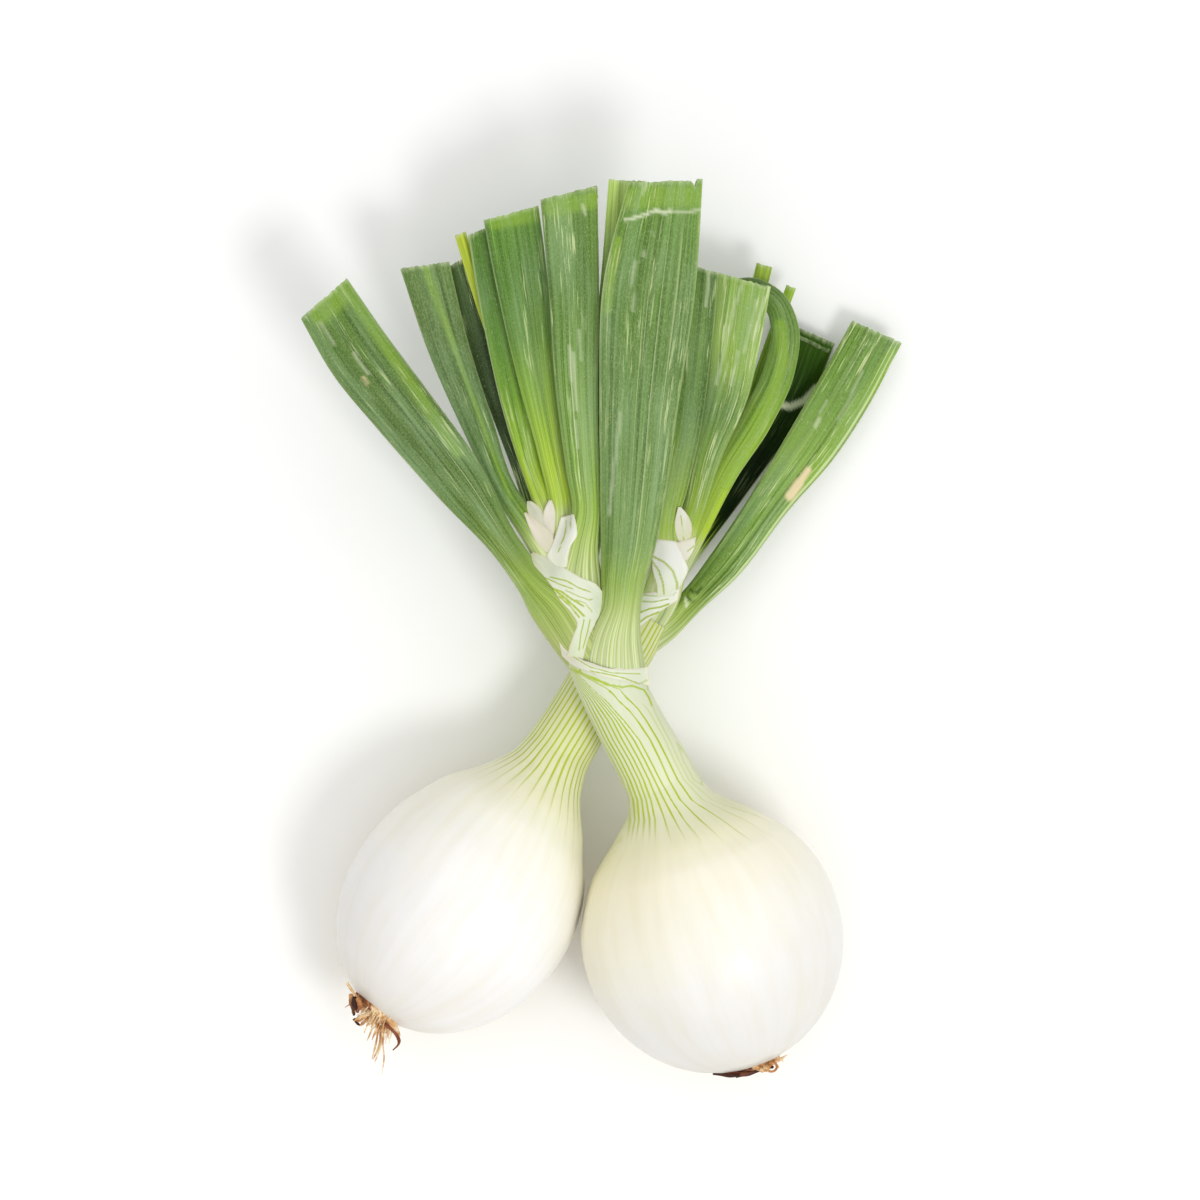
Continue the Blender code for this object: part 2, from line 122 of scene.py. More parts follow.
def add(tree, kind, inputs, output=0, stops=None, **settings):
    """Adds a node with its settings, inputs and links, and gives one of its outputs."""
    made = tree.nodes.new("ShaderNode" + kind)
    for name, value in settings.items():
        setattr(made, name, value)
    for key, value in inputs.items():
        socket = made.inputs[key]
        if isinstance(value, bpy.types.NodeSocket):
            tree.links.new(value, socket)
        elif isinstance(value, str):
            socket.default_value = (*linear(value), 1.0)
        else:
            socket.default_value = value
    for number, (place, value) in enumerate(stops or ()):
        while len(made.color_ramp.elements) <= number:
            made.color_ramp.elements.new(1.0)
        made.color_ramp.elements[number].position = place
        made.color_ramp.elements[number].color = (value, value, value, 1.0)
    return made.outputs[output]


def new_finish(name):
    """An empty material, its tree and its Principled shader."""
    made = bpy.data.materials.new(name)
    made.use_nodes = True
    return made, made.node_tree, made.node_tree.nodes["Principled BSDF"]


def connect(tree, shader, **sockets):
    """Links or sets sockets of the shader, named in words joined by underscores."""
    for name, value in sockets.items():
        socket = shader.inputs[name.replace("_", " ")]
        if isinstance(value, bpy.types.NodeSocket):
            tree.links.new(value, socket)
        else:
            socket.default_value = value


print("middle grey 808080 is", linear("808080").round(3).tolist(), "in a shader")

# %% [markdown]
# White surroundings fill the shadows. A picture of a studio could wrap the scene, but a plain white world
# is enough, because nothing here mirrors it. The walls of a studio are darker than its ceiling, so the
# world's strength rises with height, and the sides of a bulb get less light than its top.

# %% White surroundings
CEILING_FILL = 1.13         # strength of the white surroundings overhead
WALL_FILL = 0.40            # and at the height of the table
CEILING_FROM = 0.9          # height of a direction of length one where the ceiling starts

world = bpy.data.worlds.new("white_studio")
bpy.context.scene.world = world
world.use_nodes = True
sky = world.node_tree
height = add(sky, "SeparateXYZ", {0: add(sky, "TexCoord", {}, 0)}, 2)
fill = add(sky, "MapRange", {0: height, 1: 0.0, 2: CEILING_FROM, 3: WALL_FILL, 4: CEILING_FILL})
sky.links.new(fill, sky.nodes["Background"].inputs["Strength"])
sky.nodes["Background"].inputs["Color"].default_value = (1.0, 1.0, 1.0, 1.0)
print("world:", world.name, "with", len(sky.nodes), "nodes")

# %% [markdown]
# The paper that the bunch lies on is matte and almost white. A faint mottle keeps it from being a dead
# flat tone, and it is broad enough that no edge of it shows from any side.

# %% Paper floor
PAPER_REACH = 4.0           # metres
PAPER_MOTTLE = 30.0         # spots of mottle in a metre

paper, tree, shader = new_finish("white_paper")
spots = add(tree, "TexNoise", {"Vector": add(tree, "TexCoord", {}, 3), "Scale": PAPER_MOTTLE})
tone = add(tree, "Mix", {0: spots, 6: "f6f6f5", 7: "f9f9f8"}, 2, data_type="RGBA")
connect(tree, shader, Base_Color=tone, Roughness=0.9, Specular_IOR_Level=0.2)
paper_mesh = bpy.data.meshes.new("paper_floor")
reach = PAPER_REACH / 2
paper_mesh.from_pydata([(-reach, -reach, 0), (reach, -reach, 0), (reach, reach, 0), (-reach, reach, 0)],
                       [], [(0, 1, 2, 3)])
paper_mesh.materials.append(paper)
floor = bpy.data.objects.new("paper_floor", paper_mesh)
bpy.context.scene.collection.objects.link(floor)
print("paper:", PAPER_REACH, "m square")

# %% [markdown]
# Every part of an onion follows a route: a bulb swells and narrows along its axis, and a leaf bends from
# the neck to its tip. A route is written as a few rows of numbers. Curves of Blender's own could join
# them, but a short sum gives the same smooth line and also carries widths, heights and headings along.

# %% Smooth routes
def smooth_rows(rows, places):
    """Values at fractional places along rows of numbers, on a smooth curve through all rows."""
    rows = np.asarray(rows, float)
    gaps = np.linalg.norm(np.diff(rows[:, :3], axis=0), axis=1)[:, None]
    slopes = np.diff(rows, axis=0) / gaps
    inner = (slopes[:-1] * gaps[1:] + slopes[1:] * gaps[:-1]) / (gaps[:-1] + gaps[1:])
    slope = np.concatenate((slopes[:1], inner, slopes[-1:]))
    index = np.clip(places.astype(int), 0, len(rows) - 2)
    part, gap = (places - index)[:, None], gaps[index]
    start, end = rows[index], rows[index + 1]
    slope_in, slope_out = slope[index] * gap, slope[index + 1] * gap
    a = 2 * start - 2 * end + slope_in + slope_out
    b = -3 * start + 3 * end - 2 * slope_in - slope_out
    return ((a * part + b) * part + slope_in) * part + start


def even_places(rows, step, columns):
    """Places along a route one step of millimetres apart, and their distance from its start."""
    fine = np.linspace(0, len(rows) - 1, 80 * len(rows))
    points = smooth_rows(rows, fine)[:, :columns]
    run = np.concatenate(([0.0], np.cumsum(np.linalg.norm(np.diff(points, axis=0), axis=1))))
    wanted = np.linspace(0.0, run[-1], max(4, round(run[-1] / step)) + 1)
    return np.interp(wanted, run, fine), wanted


def ease(value, start, end):
    """Rises smoothly from 0 at start to 1 at end."""
    part = np.clip((value - start) / (end - start), 0.0, 1.0)
    return part * part * (3 - 2 * part)


print("a row half way:", smooth_rows([(0, 0, 0), (0, 8, 2), (0, 16, 0)], np.array([0.5]))[0].tolist())

# %% [markdown]
# A piece is a closed mesh that rides on the part's one body and replaces a solid. It also stores marks on
# its points, such as how far round or along they are. An image could colour it, but a finish that follows
# the plant's own growth only needs these marks. Each skin is kept, so later pieces can be dropped on it.

# %% Closed pieces
SHARP_ANGLE = math.radians(65)
skins = {}


def finished_piece(name, points, faces, marks, finish, slot, *nodes):
    """A closed piece from points in route millimetres, with a mark's value for every point."""
    mesh = bpy.data.meshes.new(name)
    mesh.from_pydata(to_frame(points).tolist(), [], faces)
    work = bmesh.new()
    work.from_mesh(mesh)
    bmesh.ops.recalc_face_normals(work, faces=work.faces)
    work.to_mesh(mesh)
    work.free()
    mesh.shade_smooth()
    mesh.set_sharp_from_angle(angle=SHARP_ANGLE)
    for label, values in marks.items():
        if values.ndim == 1:
            mesh.attributes.new(label, "FLOAT", "POINT").data.foreach_set("value", values)
        else:
            colours = np.concatenate((values, np.ones((len(values), 1))), 1)
            mesh.attributes.new(label, "FLOAT_COLOR", "POINT").data.foreach_set("color", colours.ravel())
    mesh.materials.append(finish)
    piece = bpy.data.objects.new(name, mesh)
    bpy.context.scene.collection.objects.link(piece)
    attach(piece, "root")
    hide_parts(*nodes)
    skins[name] = BVHTree.FromPolygons(points.tolist(), faces)
    return piece


print("edges sharper than", round(math.degrees(SHARP_ANGLE)), "degrees stay crisp")

# %% [markdown]
# Bulbs, leaves and roots are all skins through rings. A lofted curve could make them, but it can't give
# every point its marks. Here each ring has the same number of points, so the faces follow from counting,
# and a fan of triangles closes each end.

# %% Skins through rings
def ring_faces(count, sides):
    """The faces of a closed skin through rings, whose two middle points come after all ring points."""
    level, side = np.meshgrid(np.arange(count - 1), np.arange(sides), indexing="ij")
    beside = (side + 1) % sides
    quads = np.stack((level * sides + side, (level + 1) * sides + side,
                      (level + 1) * sides + beside, level * sides + beside), -1).reshape(-1, 4)
    around = np.arange(sides)
    after = (around + 1) % sides
    first, top = np.full(sides, count * sides), (count - 1) * sides
    caps = np.concatenate((np.stack((first, around, after), 1),
                           np.stack((first + 1, top + after, top + around), 1)))
    return quads.tolist() + caps.tolist()


def ring_points(values):
    """Values for the points of rings, with a value for the middle of each end."""
    return np.concatenate((values.reshape(-1, *values.shape[2:]), values[[0, -1]].mean(1)))


def ring_skin(name, rings, marks, finish, slot, *nodes, turns=None):
    """A closed piece through rings of points, each end closed by a fan round its middle."""
    count, sides = rings.shape[:2]
    flat_marks = {label: ring_points(values) for label, values in marks.items()}
    faces = ring_faces(count, sides)
    piece = finished_piece(name, ring_points(rings), faces, flat_marks, finish, slot, *nodes)
    if turns is not None:
        level, side = np.meshgrid(np.arange(count - 1), np.arange(sides), indexing="ij")
        column = np.stack((side, side, side + 1, side + 1), -1).reshape(-1)
        row = np.stack((level, level + 1, level + 1, level), -1).reshape(-1)
        values = np.concatenate((turns[row, column], np.zeros(6 * sides)))
        layer = piece.data.uv_layers.new(name="turn")
        layer.data.foreach_set("uv", np.stack((values, np.zeros(len(values))), 1).ravel())
    return piece


print("a skin through 4 rings of 6 points has", len(ring_faces(4, 6)), "faces")

# %% [markdown]
# Scuffs, scars and single veins are where they are by chance, so no rule gives them. They are drawn
# as strokes over the picture's pixels, and every point of a mesh learns how well a stroke covers it.

# %% Drawn strokes
STROKE_CORE, STROKE_EDGE = 0.5, 1.4     # in half widths: full inside the first, none outside the second


def painted(points, strokes, finest=0.0):
    """How strongly drawn strokes, each (half width, [pixels]), cover points seen from above.

    A stroke thinner than the finest half width that the mesh can hold is drawn wider, and fainter for it."""
    seen = pixels_of(points)
    cover = np.zeros(seen.shape[:-1])
    for half_width, route in strokes:
        drawn = max(half_width, finest)
        for start, end in zip(route, route[1:]):
            start, way = np.array(start, float), np.array(end, float) - np.array(start, float)
            part = np.clip(((seen - start) @ way) / (way @ way), 0.0, 1.0)
            away = np.linalg.norm(seen - start - part[..., None] * way, axis=-1)
            inside = 1 - ease(away, drawn * STROKE_CORE, drawn * STROKE_EDGE)
            cover = np.maximum(cover, half_width / drawn * inside)
    return cover


def shade_along(stops, place):
    """Linear colours at places between hex shades."""
    colours = np.array([linear(shade) for _, shade in stops])
    return np.stack([np.interp(place, [stop for stop, _ in stops], channel) for channel in colours.T], -1)


print("middle of a stroke:", painted([(0.0, 0.0, 0.0)], [(2.0, [(590, 600), (610, 600)])]).tolist())

# %% [markdown]
# The bulbs and necks
# A fresh onion's outer skin is a thin moist scale: white, faintly ribbed from root to neck, and glossy
# because it is smooth and wet. Light passes a little way into it, so it needs subsurface scattering.
# The green lines of the neck are veins. Each runs from the leaf down into the bulb and fades there. An
# image would blur them, so they are drawn along the skin by counting turns round it.

# %% Onion skin finish
VEIN_GREEN = "a4bc24"
RIBS_ON_RADIUS = 9.0        # so a rib is about 4 mm wide at the thick of a bulb
RIB_LENGTH = 28.57          # millimetres
CLOUD_SIZE = 22.22          # millimetres, of the faint clouds in the wet skin
VEIN_CORE, VEIN_EDGE = 0.08, 0.24   # in spaces between veins: all green within the first, none past the second
VEIN_WANDER = 0.3           # how many spaces a vein strays, at most


def onion_skin():
    made, tree, shader = new_finish("moist_onion_scale")
    marks = {label: add(tree, "Attribute", {}, output, attribute_name=label) for label, output in (
        ("growth", VECTOR), ("shade", COLOUR), ("vein_shade", COLOUR), ("spacing", NUMBER),
        ("striped", NUMBER), ("vein", NUMBER), ("dull", NUMBER))}
    ribs = add(tree, "TexNoise", {"Vector": marks["growth"], "Scale": 1.0, "Detail": 3.0, "Roughness": 0.55})
    cloud = add(tree, "TexNoise", {"Vector": add(tree, "TexCoord", {}, 3), "Scale": 1000 / CLOUD_SIZE,
                                   "Detail": 2.0})
    shade = marks["shade"]
    for strength, tone in ((add(tree, "ValToRGB", {0: ribs}, stops=[(0.42, 0.0), (0.72, 0.30)]), "f4efdd"),
                           (add(tree, "MapRange", {0: cloud, 1: 0.35, 2: 0.7, 3: 0.0, 4: 0.25}), "f3efe2")):
        shade = add(tree, "Mix", {0: strength, 6: shade, 7: tone}, 2, data_type="RGBA",
                    blend_type="MULTIPLY")
    turn = add(tree, "SeparateXYZ", {0: add(tree, "UVMap", {}, uv_map="turn")})
    wander = add(tree, "Math", {0: ribs, 1: VEIN_WANDER, 2: -VEIN_WANDER / 2}, operation="MULTIPLY_ADD")
    count = add(tree, "Math", {0: turn, 1: wander}, operation="ADD")
    away = add(tree, "Math", {0: count, 1: 0.5}, operation="PINGPONG")
    distance = add(tree, "Math", {0: away, 1: marks["spacing"]}, operation="MULTIPLY")
    line = add(tree, "MapRange", {0: distance, 1: VEIN_CORE, 2: VEIN_EDGE, 3: 1.0, 4: 0.0},
               interpolation_type="SMOOTHSTEP")
    strength = add(tree, "Math", {0: line, 1: marks["striped"]}, operation="MULTIPLY")
    veined = add(tree, "Math", {0: strength, 1: marks["vein"]}, operation="MAXIMUM")
    green = add(tree, "Mix", {0: veined, 6: shade, 7: marks["vein_shade"]}, 2, data_type="RGBA")
    relief = add(tree, "Math", {0: ribs, 1: veined}, operation="ADD")
    bump = add(tree, "Bump", {"Height": relief, "Strength": 0.25, "Distance": 0.0002})
    smooth = add(tree, "MapRange", {0: cloud, 1: 0.3, 2: 0.7, 3: 0.28, 4: 0.40})
    rough = add(tree, "Math", {0: smooth, 1: marks["dull"]}, operation="MAXIMUM")
    connect(tree, shader, Base_Color=green, Roughness=rough, Normal=bump, IOR=1.40,
            Subsurface_Weight=0.25, Subsurface_Radius=(1.0, 0.9, 0.6), Subsurface_Scale=0.0025,
            Coat_Weight=0.06, Coat_Roughness=0.3)
    return made


skin_finish = onion_skin()
print("finish:", skin_finish.name, "with", len(skin_finish.node_tree.nodes), "nodes")

# %% [markdown]
# A bulb is a ball that runs out into its neck. A sphere and a cone could be joined, but the shoulder
# between them is what makes an onion. So the ball, the shoulder and the neck are rows of one route, each
# with its own radius, read from the picture in millimetres. The colours change along that route too.

# %% Shapes and shades of the bulbs
BULB_SIDES = 180
BULB_STEP = 0.5             # millimetres between rings
BALL_ROWS = 9
LAY_DEPTH = 0.7             # millimetres that a bulb settles on the table
# Veins are numbered on from the left edge of a neck. The mouth is how far past the last row its edge lies,
# in millimetres, at these degrees from the right over the top.
FRONT_BULB = {
    "middle": (31.8, -95.9, 37.0), "radius": 37.0, "root_length": 38.0, "plate_radius": 8.5,
    "to_neck": (-0.305, 0.951, 0.055),
    "shoulder": [(26.8, -79.9, 33.5), (24.2, -72.0, 28.3), (22.6, -67.0, 23.2), (20.9, -61.9, 17.0),
                 (19.4, -57.3, 12.4), (17.4, -52.0, 10.4)],
    "shoulder_height": (38.0, 38.5, 38.9, 39.3, 39.7, 40.1),
    "neck": [(14.5, -46.0, 40.7, 10.0), (9.5, -37.0, 41.6, 9.6), (4.5, -27.0, 42.7, 9.4),
             (1.5, -19.5, 43.4, 9.7)],
    # The side glow is painted bounce light at the upper left of the shoulder.
    "veins_round": 30, "rim": 1.0, "painted_side_glow": "efe8c4",
    "mouth": ((0, -3.0), (45, -1.5), (90, 0.6), (135, 6.5), (180, 12.5), (270, 5.0), (360, -3.0)),
    "shades": ((0.0, "dad6cb"), (0.10, "dfddd8"), (0.30, "e8e7e4"), (0.44, "f1efe4"), (0.53, "faf5e2"),
               (0.60, "efecce"), (0.72, "d8dcbc"), (1.0, "d2d9c0")),
}
BACK_BULB = {
    "middle": (-39.7, -86.5, 32.4), "radius": 32.4, "root_length": 38.8, "plate_radius": 8.0,
    "to_neck": (0.625, 0.775, -0.095),
    "shoulder": [(-31.5, -74.4, 30.3), (-25.5, -65.0, 25.0), (-21.5, -59.0, 19.6), (-18.4, -54.0, 15.0),
                 (-15.7, -49.6, 11.8), (-12.8, -44.6, 10.0)],
    "shoulder_height": (31.0, 29.8, 28.7, 27.6, 26.6, 25.4),
    "neck": [(-8.8, -38.2, 24.0, 9.4), (-4.0, -30.4, 22.6, 9.2), (1.5, -21.0, 21.8, 9.2),
             (7.0, -12.0, 21.5, 9.4), (12.0, -4.0, 21.8, 8.6)],
    "veins_round": 33, "rim": 0.0, "painted_side_glow": "f4f0df",
    "mouth": ((0, 0.0), (360, 0.0)),
    "shades": ((0.0, "dcd6cb"), (0.10, "e9e7e4"), (0.28, "f0efef"), (0.42, "f4f3ee"), (0.50, "f7f5e8"),
               (0.58, "efedce"), (0.70, "dcdfb2"), (1.0, "cfd3a4")),
}
BULB_ANGLES = np.arange(BULB_SIDES) * math.tau / BULB_SIDES


def bulb_rows(bulb):
    """Rows of (x, y, z, radius) from the root end of a bulb to the end of its neck."""
    middle, axis = np.array(bulb["middle"]), np.array(bulb["to_neck"])
    axis = axis / np.linalg.norm(axis)
    length, radius = bulb["root_length"], bulb["radius"]
    plate_angle = math.asin(bulb["plate_radius"] / radius)
    rows = []
    for angle in np.linspace(plate_angle, math.pi / 2, BALL_ROWS):
        place = middle - (0, 0, LAY_DEPTH) - axis * (length * math.cos(angle))
        rows.append((*place, radius * math.sin(angle)))
    for (x, y, ring), z in zip(bulb["shoulder"], bulb["shoulder_height"]):
        rows.append((x, y, z - LAY_DEPTH, ring))
    return rows + list(bulb["neck"])


print("rows:", len(bulb_rows(FRONT_BULB)), "and", len(bulb_rows(BACK_BULB)))

# %% [markdown]
# The skin of a bulb is never quite round. The scales below press through it as soft ribs, and a sum of
# waves of random height gives those. They fade on the neck and at the root. The edge of the neck's mouth
# turns in, thin and round, and the root end is hollowed a little where the brown plate sits.

# %% Rings of a bulb
RIB_WAVES = range(5, 34)    # waves round the bulb
RIB_HEIGHT = 0.35           # millimetres
RIBS_FROM_MOUTH = (30.0, 55.0)  # millimetres from the mouth where the ribs start and are full
RIBS_FROM_ROOT = (2.0, 14.0)
MOUTH_REACH = 16.0          # millimetres of neck that the slant of the mouth stretches
LIP = 0.35                  # millimetres that the rounded edge turns over
MOUTH_WALL, MOUTH_DEPTH = 0.9, 2.5
ROOT_RISE, ROOT_HOLLOW, ROOT_INWARD = 0.5, 1.2, 0.35


def bulb_rings(bulb, seed):
    """Rings round a bulb and its neck, how far each lies from the root end, and its plain radius."""
    rows = bulb_rows(bulb)
    places, run = even_places(rows, BULB_STEP, 4)
    row = smooth_rows(rows, places)
    forward = np.gradient(row[:, :3], axis=0)
    forward /= np.linalg.norm(forward, axis=1)[:, None]
    across = np.stack((forward[:, 1], -forward[:, 0], np.zeros(len(row))), 1)
    across /= np.linalg.norm(across, axis=1)[:, None]
    upward = np.cross(across, forward)
    draw = random.Random(seed)
    ribs = np.zeros(BULB_SIDES)
    for waves in RIB_WAVES:
        ribs += draw.uniform(0.2, 1.0) / waves * np.cos(waves * BULB_ANGLES + draw.uniform(0, math.tau))
    to_mouth = run[-1] - run
    on_bulb = ease(to_mouth, *RIBS_FROM_MOUTH) * ease(run, *RIBS_FROM_ROOT)
    radius = row[:, 3][:, None] + RIB_HEIGHT * ribs[None] * on_bulb[:, None]
    mouth = np.interp(np.degrees(BULB_ANGLES), *zip(*bulb["mouth"]))
    pushed = mouth[None] * ease(-to_mouth, -MOUTH_REACH, 0.0)[:, None]
    rings = (row[:, None, :3] + pushed[..., None] * forward[:, None]
             + radius[..., None] * (np.cos(BULB_ANGLES)[None, :, None] * across[:, None]
                                    + np.sin(BULB_ANGLES)[None, :, None] * upward[:, None]))
    last_way = (rings[-1] - row[-1, :3]) / row[-1, 3]
    lip = rings[-1] + LIP * forward[-1] - LIP * last_way
    inner = rings[-2] - MOUTH_WALL * (rings[-2] - row[-1, :3]) / row[-1, 3] - MOUTH_DEPTH * forward[-1]
    root_out = rings[0] - ROOT_RISE * forward[0]
    root_in = rings[0] + (row[0, :3] - rings[0]) * ROOT_INWARD + ROOT_HOLLOW * forward[0]
    rings = np.concatenate((root_in[None], (root_out + root_in)[None] / 2, rings, lip[None], inner[None]))
    rings[..., 2] = np.maximum(rings[..., 2], 0.0)
    grow = np.concatenate(([0.0, 0.0], run, [run[-1]] * 2))
    radii = np.concatenate((row[:1, 3], row[:1, 3], row[:, 3], row[-1:, 3], row[-1:, 3]))
    return rings, grow, radii


front_rings = bulb_rings(FRONT_BULB, 3)
back_rings = bulb_rings(BACK_BULB, 5)
print("rings:", len(front_rings[0]), "and", len(back_rings[0]))

# %% [markdown]
# The veins of the back neck run evenly. Those of the front neck don't: at its mouth they sweep in from the
# left and spread. Guides say where some of them cross a few heights of the picture, and the veins
# between are shared out. At both sides of the neck, where the picture says nothing, they give way
# to even veins, which go on underneath.

# %% Veins of the necks
# The number of a vein, from the left edge, and where it crosses these heights, all in pixels.
GUIDE_HEIGHTS = (672, 680, 690, 700, 710, 720, 740, 760, 780, 800, 820, 840)
FRONT_GUIDES = {
    0: (570, 573, 576, 580, 584, 589, 598, 609, 619, 624.5, 626, 622),
    3: (571, 575, 581, 588, 593, 598.5, 608.5, 620, 630, 637.5, 639, 636),
    6: (572, 578, 587, 597, 605, 612.5, 622.5, 634, 643.5, 650.5, 655, 656),
    9: (574, 583, 593, 605, 614, 623, 639.5, 650, 660, 671, 684, 700),
    10: (576, 592, 609, 618, 628.5, 637, 650, 660, 669, 680, 700, 722),
    11: (578, 597, 620, 629, 639, 646, 658, 668, 677.5, 691, 722, 750),
    12: (640, 641, 642, 640, 648, 654, 665, 674, 684, 703, 745, 775),
    13: (647, 647.5, 648, 650.5, 654, 659, 669.5, 678.5, 689, 712, 765, 800),
    14: (649, 650, 654, 657.5, 661.5, 666, 676, 683, 694, 724, 790, 830),
}
# Short veins just below the mouth: half width and route in pixels.
FRONT_MOUTH_VEINS = [
    (1.4, [(571, 669), (585, 675), (597, 680), (609, 685)]),
    (1.0, [(609, 685), (621, 687), (633, 686), (644, 690), (649, 698), (652, 706)]),
    (0.6, [(590, 672), (607, 674), (624, 678), (640, 684), (647, 680)]),
    (0.4, [(647, 680), (648, 690)]),
]
LAST_BOLD_VEIN = 11.4       # veins to the right of this one are faint
FAINT_VEIN = 0.35
FAINT_FROM = (700.0, 708.0)     # heights in the picture between which the faint veins appear
FADE_HEIGHTS = (812.0, 848.0)   # and between which all veins fade into the bulb
SIDE_BLEND = 28.0           # degrees over which guided veins give way to even ones
MEETING_ANGLE = 192.0       # degrees, where the two kinds meet and fade
MEETING_REACH = (-48.0, -14.0)
MEETING_FADE = 0.85
NECK_START, FIRST_HINT = (0.53, 0.67), (0.44, 0.57)     # shares of the whole length
HINT = 0.10


def vein_numbers(points, guides, heights):
    """The number, with fractions, of the guided vein at points seen from above, and pixels between veins."""
    seen = pixels_of(points)
    lines = np.stack([np.interp(seen[..., 1], heights, line) for line in guides.values()])
    numbers = np.array(list(guides), float)
    left = (seen[..., 0] > lines[1:-1]).sum(0)
    start = np.take_along_axis(lines, left[None], 0)[0]
    end = np.take_along_axis(lines, left[None] + 1, 0)[0]
    spacing = (end - start) / (numbers[left + 1] - numbers[left])
    return numbers[left] + (seen[..., 0] - start) / spacing, spacing


def bulb_veins(bulb, rings, grow, radii, guides=None):
    """Turns counted in veins, how strongly the veins show, and pixels between them, at a bulb's points."""
    share = grow / grow[-1]
    full = np.ones((len(grow), BULB_SIDES))
    turn_angle = np.arange(BULB_SIDES + 1) * math.tau / BULB_SIDES - math.pi
    even_turns = bulb["veins_round"] / math.tau * turn_angle
    turns = even_turns[None] * np.ones((len(grow), 1))
    striped = (ease(share, *NECK_START) + HINT * ease(share, *FIRST_HINT))[:, None] * full
    spacing = (math.tau * radii / bulb["veins_round"] / PIXEL)[:, None] * full
    if guides:
        half, degrees = BULB_SIDES // 2, np.degrees(BULB_ANGLES)
        numbers, apart = vein_numbers(rings[:, :half + 1], guides, GUIDE_HEIGHTS)
        spacing[:, :half] = apart[:, :half]
        top_angle = np.degrees(turn_angle[:half + 1] + math.pi)
        near_side = ease(np.abs(top_angle - 90.0), 90.0 - SIDE_BLEND, 90.0)[None]
        evenly = max(guides) * (1 - top_angle / 180.0)[None]
        turns[:, :half + 1] = numbers + (evenly - numbers) * near_side
        turns[:, half:] = -even_turns[None, half:]
        seen = pixels_of(rings[:, :half])[..., 1]
        bold = 1 - ease(numbers[:, :half], LAST_BOLD_VEIN, LAST_BOLD_VEIN + 0.2)
        over = (1 - ease(seen, *FADE_HEIGHTS)) * np.maximum(bold, FAINT_VEIN * ease(seen, *FAINT_FROM))
        to_right = ease(np.abs(180.0 - degrees), 120.0, 180.0)[None]
        beside = striped * (1 - (1 - FAINT_VEIN) * to_right)
        above = over + (beside[:, :half] - over) * near_side[:, :half]
        striped = np.concatenate((above, beside[:, half:]), 1)
        striped *= 1 - MEETING_FADE * ease(-np.abs(degrees - MEETING_ANGLE), *MEETING_REACH)[None]
    return turns, striped, spacing


front_veins = bulb_veins(FRONT_BULB, *front_rings, guides=FRONT_GUIDES)
back_veins = bulb_veins(BACK_BULB, *back_rings)
print("widest space between veins:", round(float(front_veins[2].max()), 1), "pixels")

# %% [markdown]
# The white of a bulb isn't one white. It is warmer where it lies on the table, partly the skin's own cream
# and partly painted, so that light bounced off it warms the shade between the bulbs. It is yellower at its
# upper left, where bounce light from the other bulb is painted as a glow. It is greener up the neck, and
# almost bare at the torn edge of the mouth. Each of these is a tone that covers some of the points, laid
# over the one below like thin paint.

# %% Skins of the bulbs
# The underside tone is partly the cream of a bulb low down and partly painted. It is yellower than the skin,
# so that light bounced off it warms the shade between the bulbs.
UNDERSIDE_BOUNCE_TINT, MOUTH_EDGE = "dfc97c", "f0f2e2"
VEIN_SHADES = ((0.0, "e8e2c0"), (0.45, "d4cf7c"), (0.58, "b8c63c"), (1.0, VEIN_GREEN))
PAINTED_SIDE_GLOW_COVER, UNDERSIDE_BOUNCE_COVER = 0.5, 0.6
DULL_NECK = 0.62            # roughness of the neck
DULL_FROM = (0.52, 0.64)    # share of the length where the neck turns dull
USUAL_SPACING = 6.0         # pixels between veins that have the width set in the finish
SPACING_LIMITS = (0.72, 4.0)


def bulb_shades(bulb, grow):
    """The colour of a bulb's points, and how far each belongs to the pale edge of the mouth."""
    share, to_mouth = grow / grow[-1], grow[-1] - grow
    full = np.ones((len(grow), BULB_SIDES))
    # Painted light: a yellow glow at the upper left of the shoulder, as if bounced from the other bulb.
    painted_glow_along = ease(share, 0.18, 0.45) * (1 - ease(share, 0.6, 0.7))
    painted_side_glow = PAINTED_SIDE_GLOW_COVER * painted_glow_along[:, None] * ease(-np.cos(BULB_ANGLES), -0.1, 1.0)[None]
    rim = bulb["rim"] * ease(-to_mouth, -2.6, -1.2)[:, None] * full
    on_ball = (1 - ease(share, 0.5, 0.62))[:, None]
    underside_bounce = UNDERSIDE_BOUNCE_COVER * ease(-np.sin(BULB_ANGLES)[None], 0.1, 0.8) * on_ball
    shade = shade_along(bulb["shades"], share)[:, None] * full[..., None]
    for tone, cover in ((bulb["painted_side_glow"], painted_side_glow), (MOUTH_EDGE, rim), (UNDERSIDE_BOUNCE_TINT, underside_bounce)):
        shade = shade + (linear(tone) - shade) * cover[..., None]
    return shade, rim


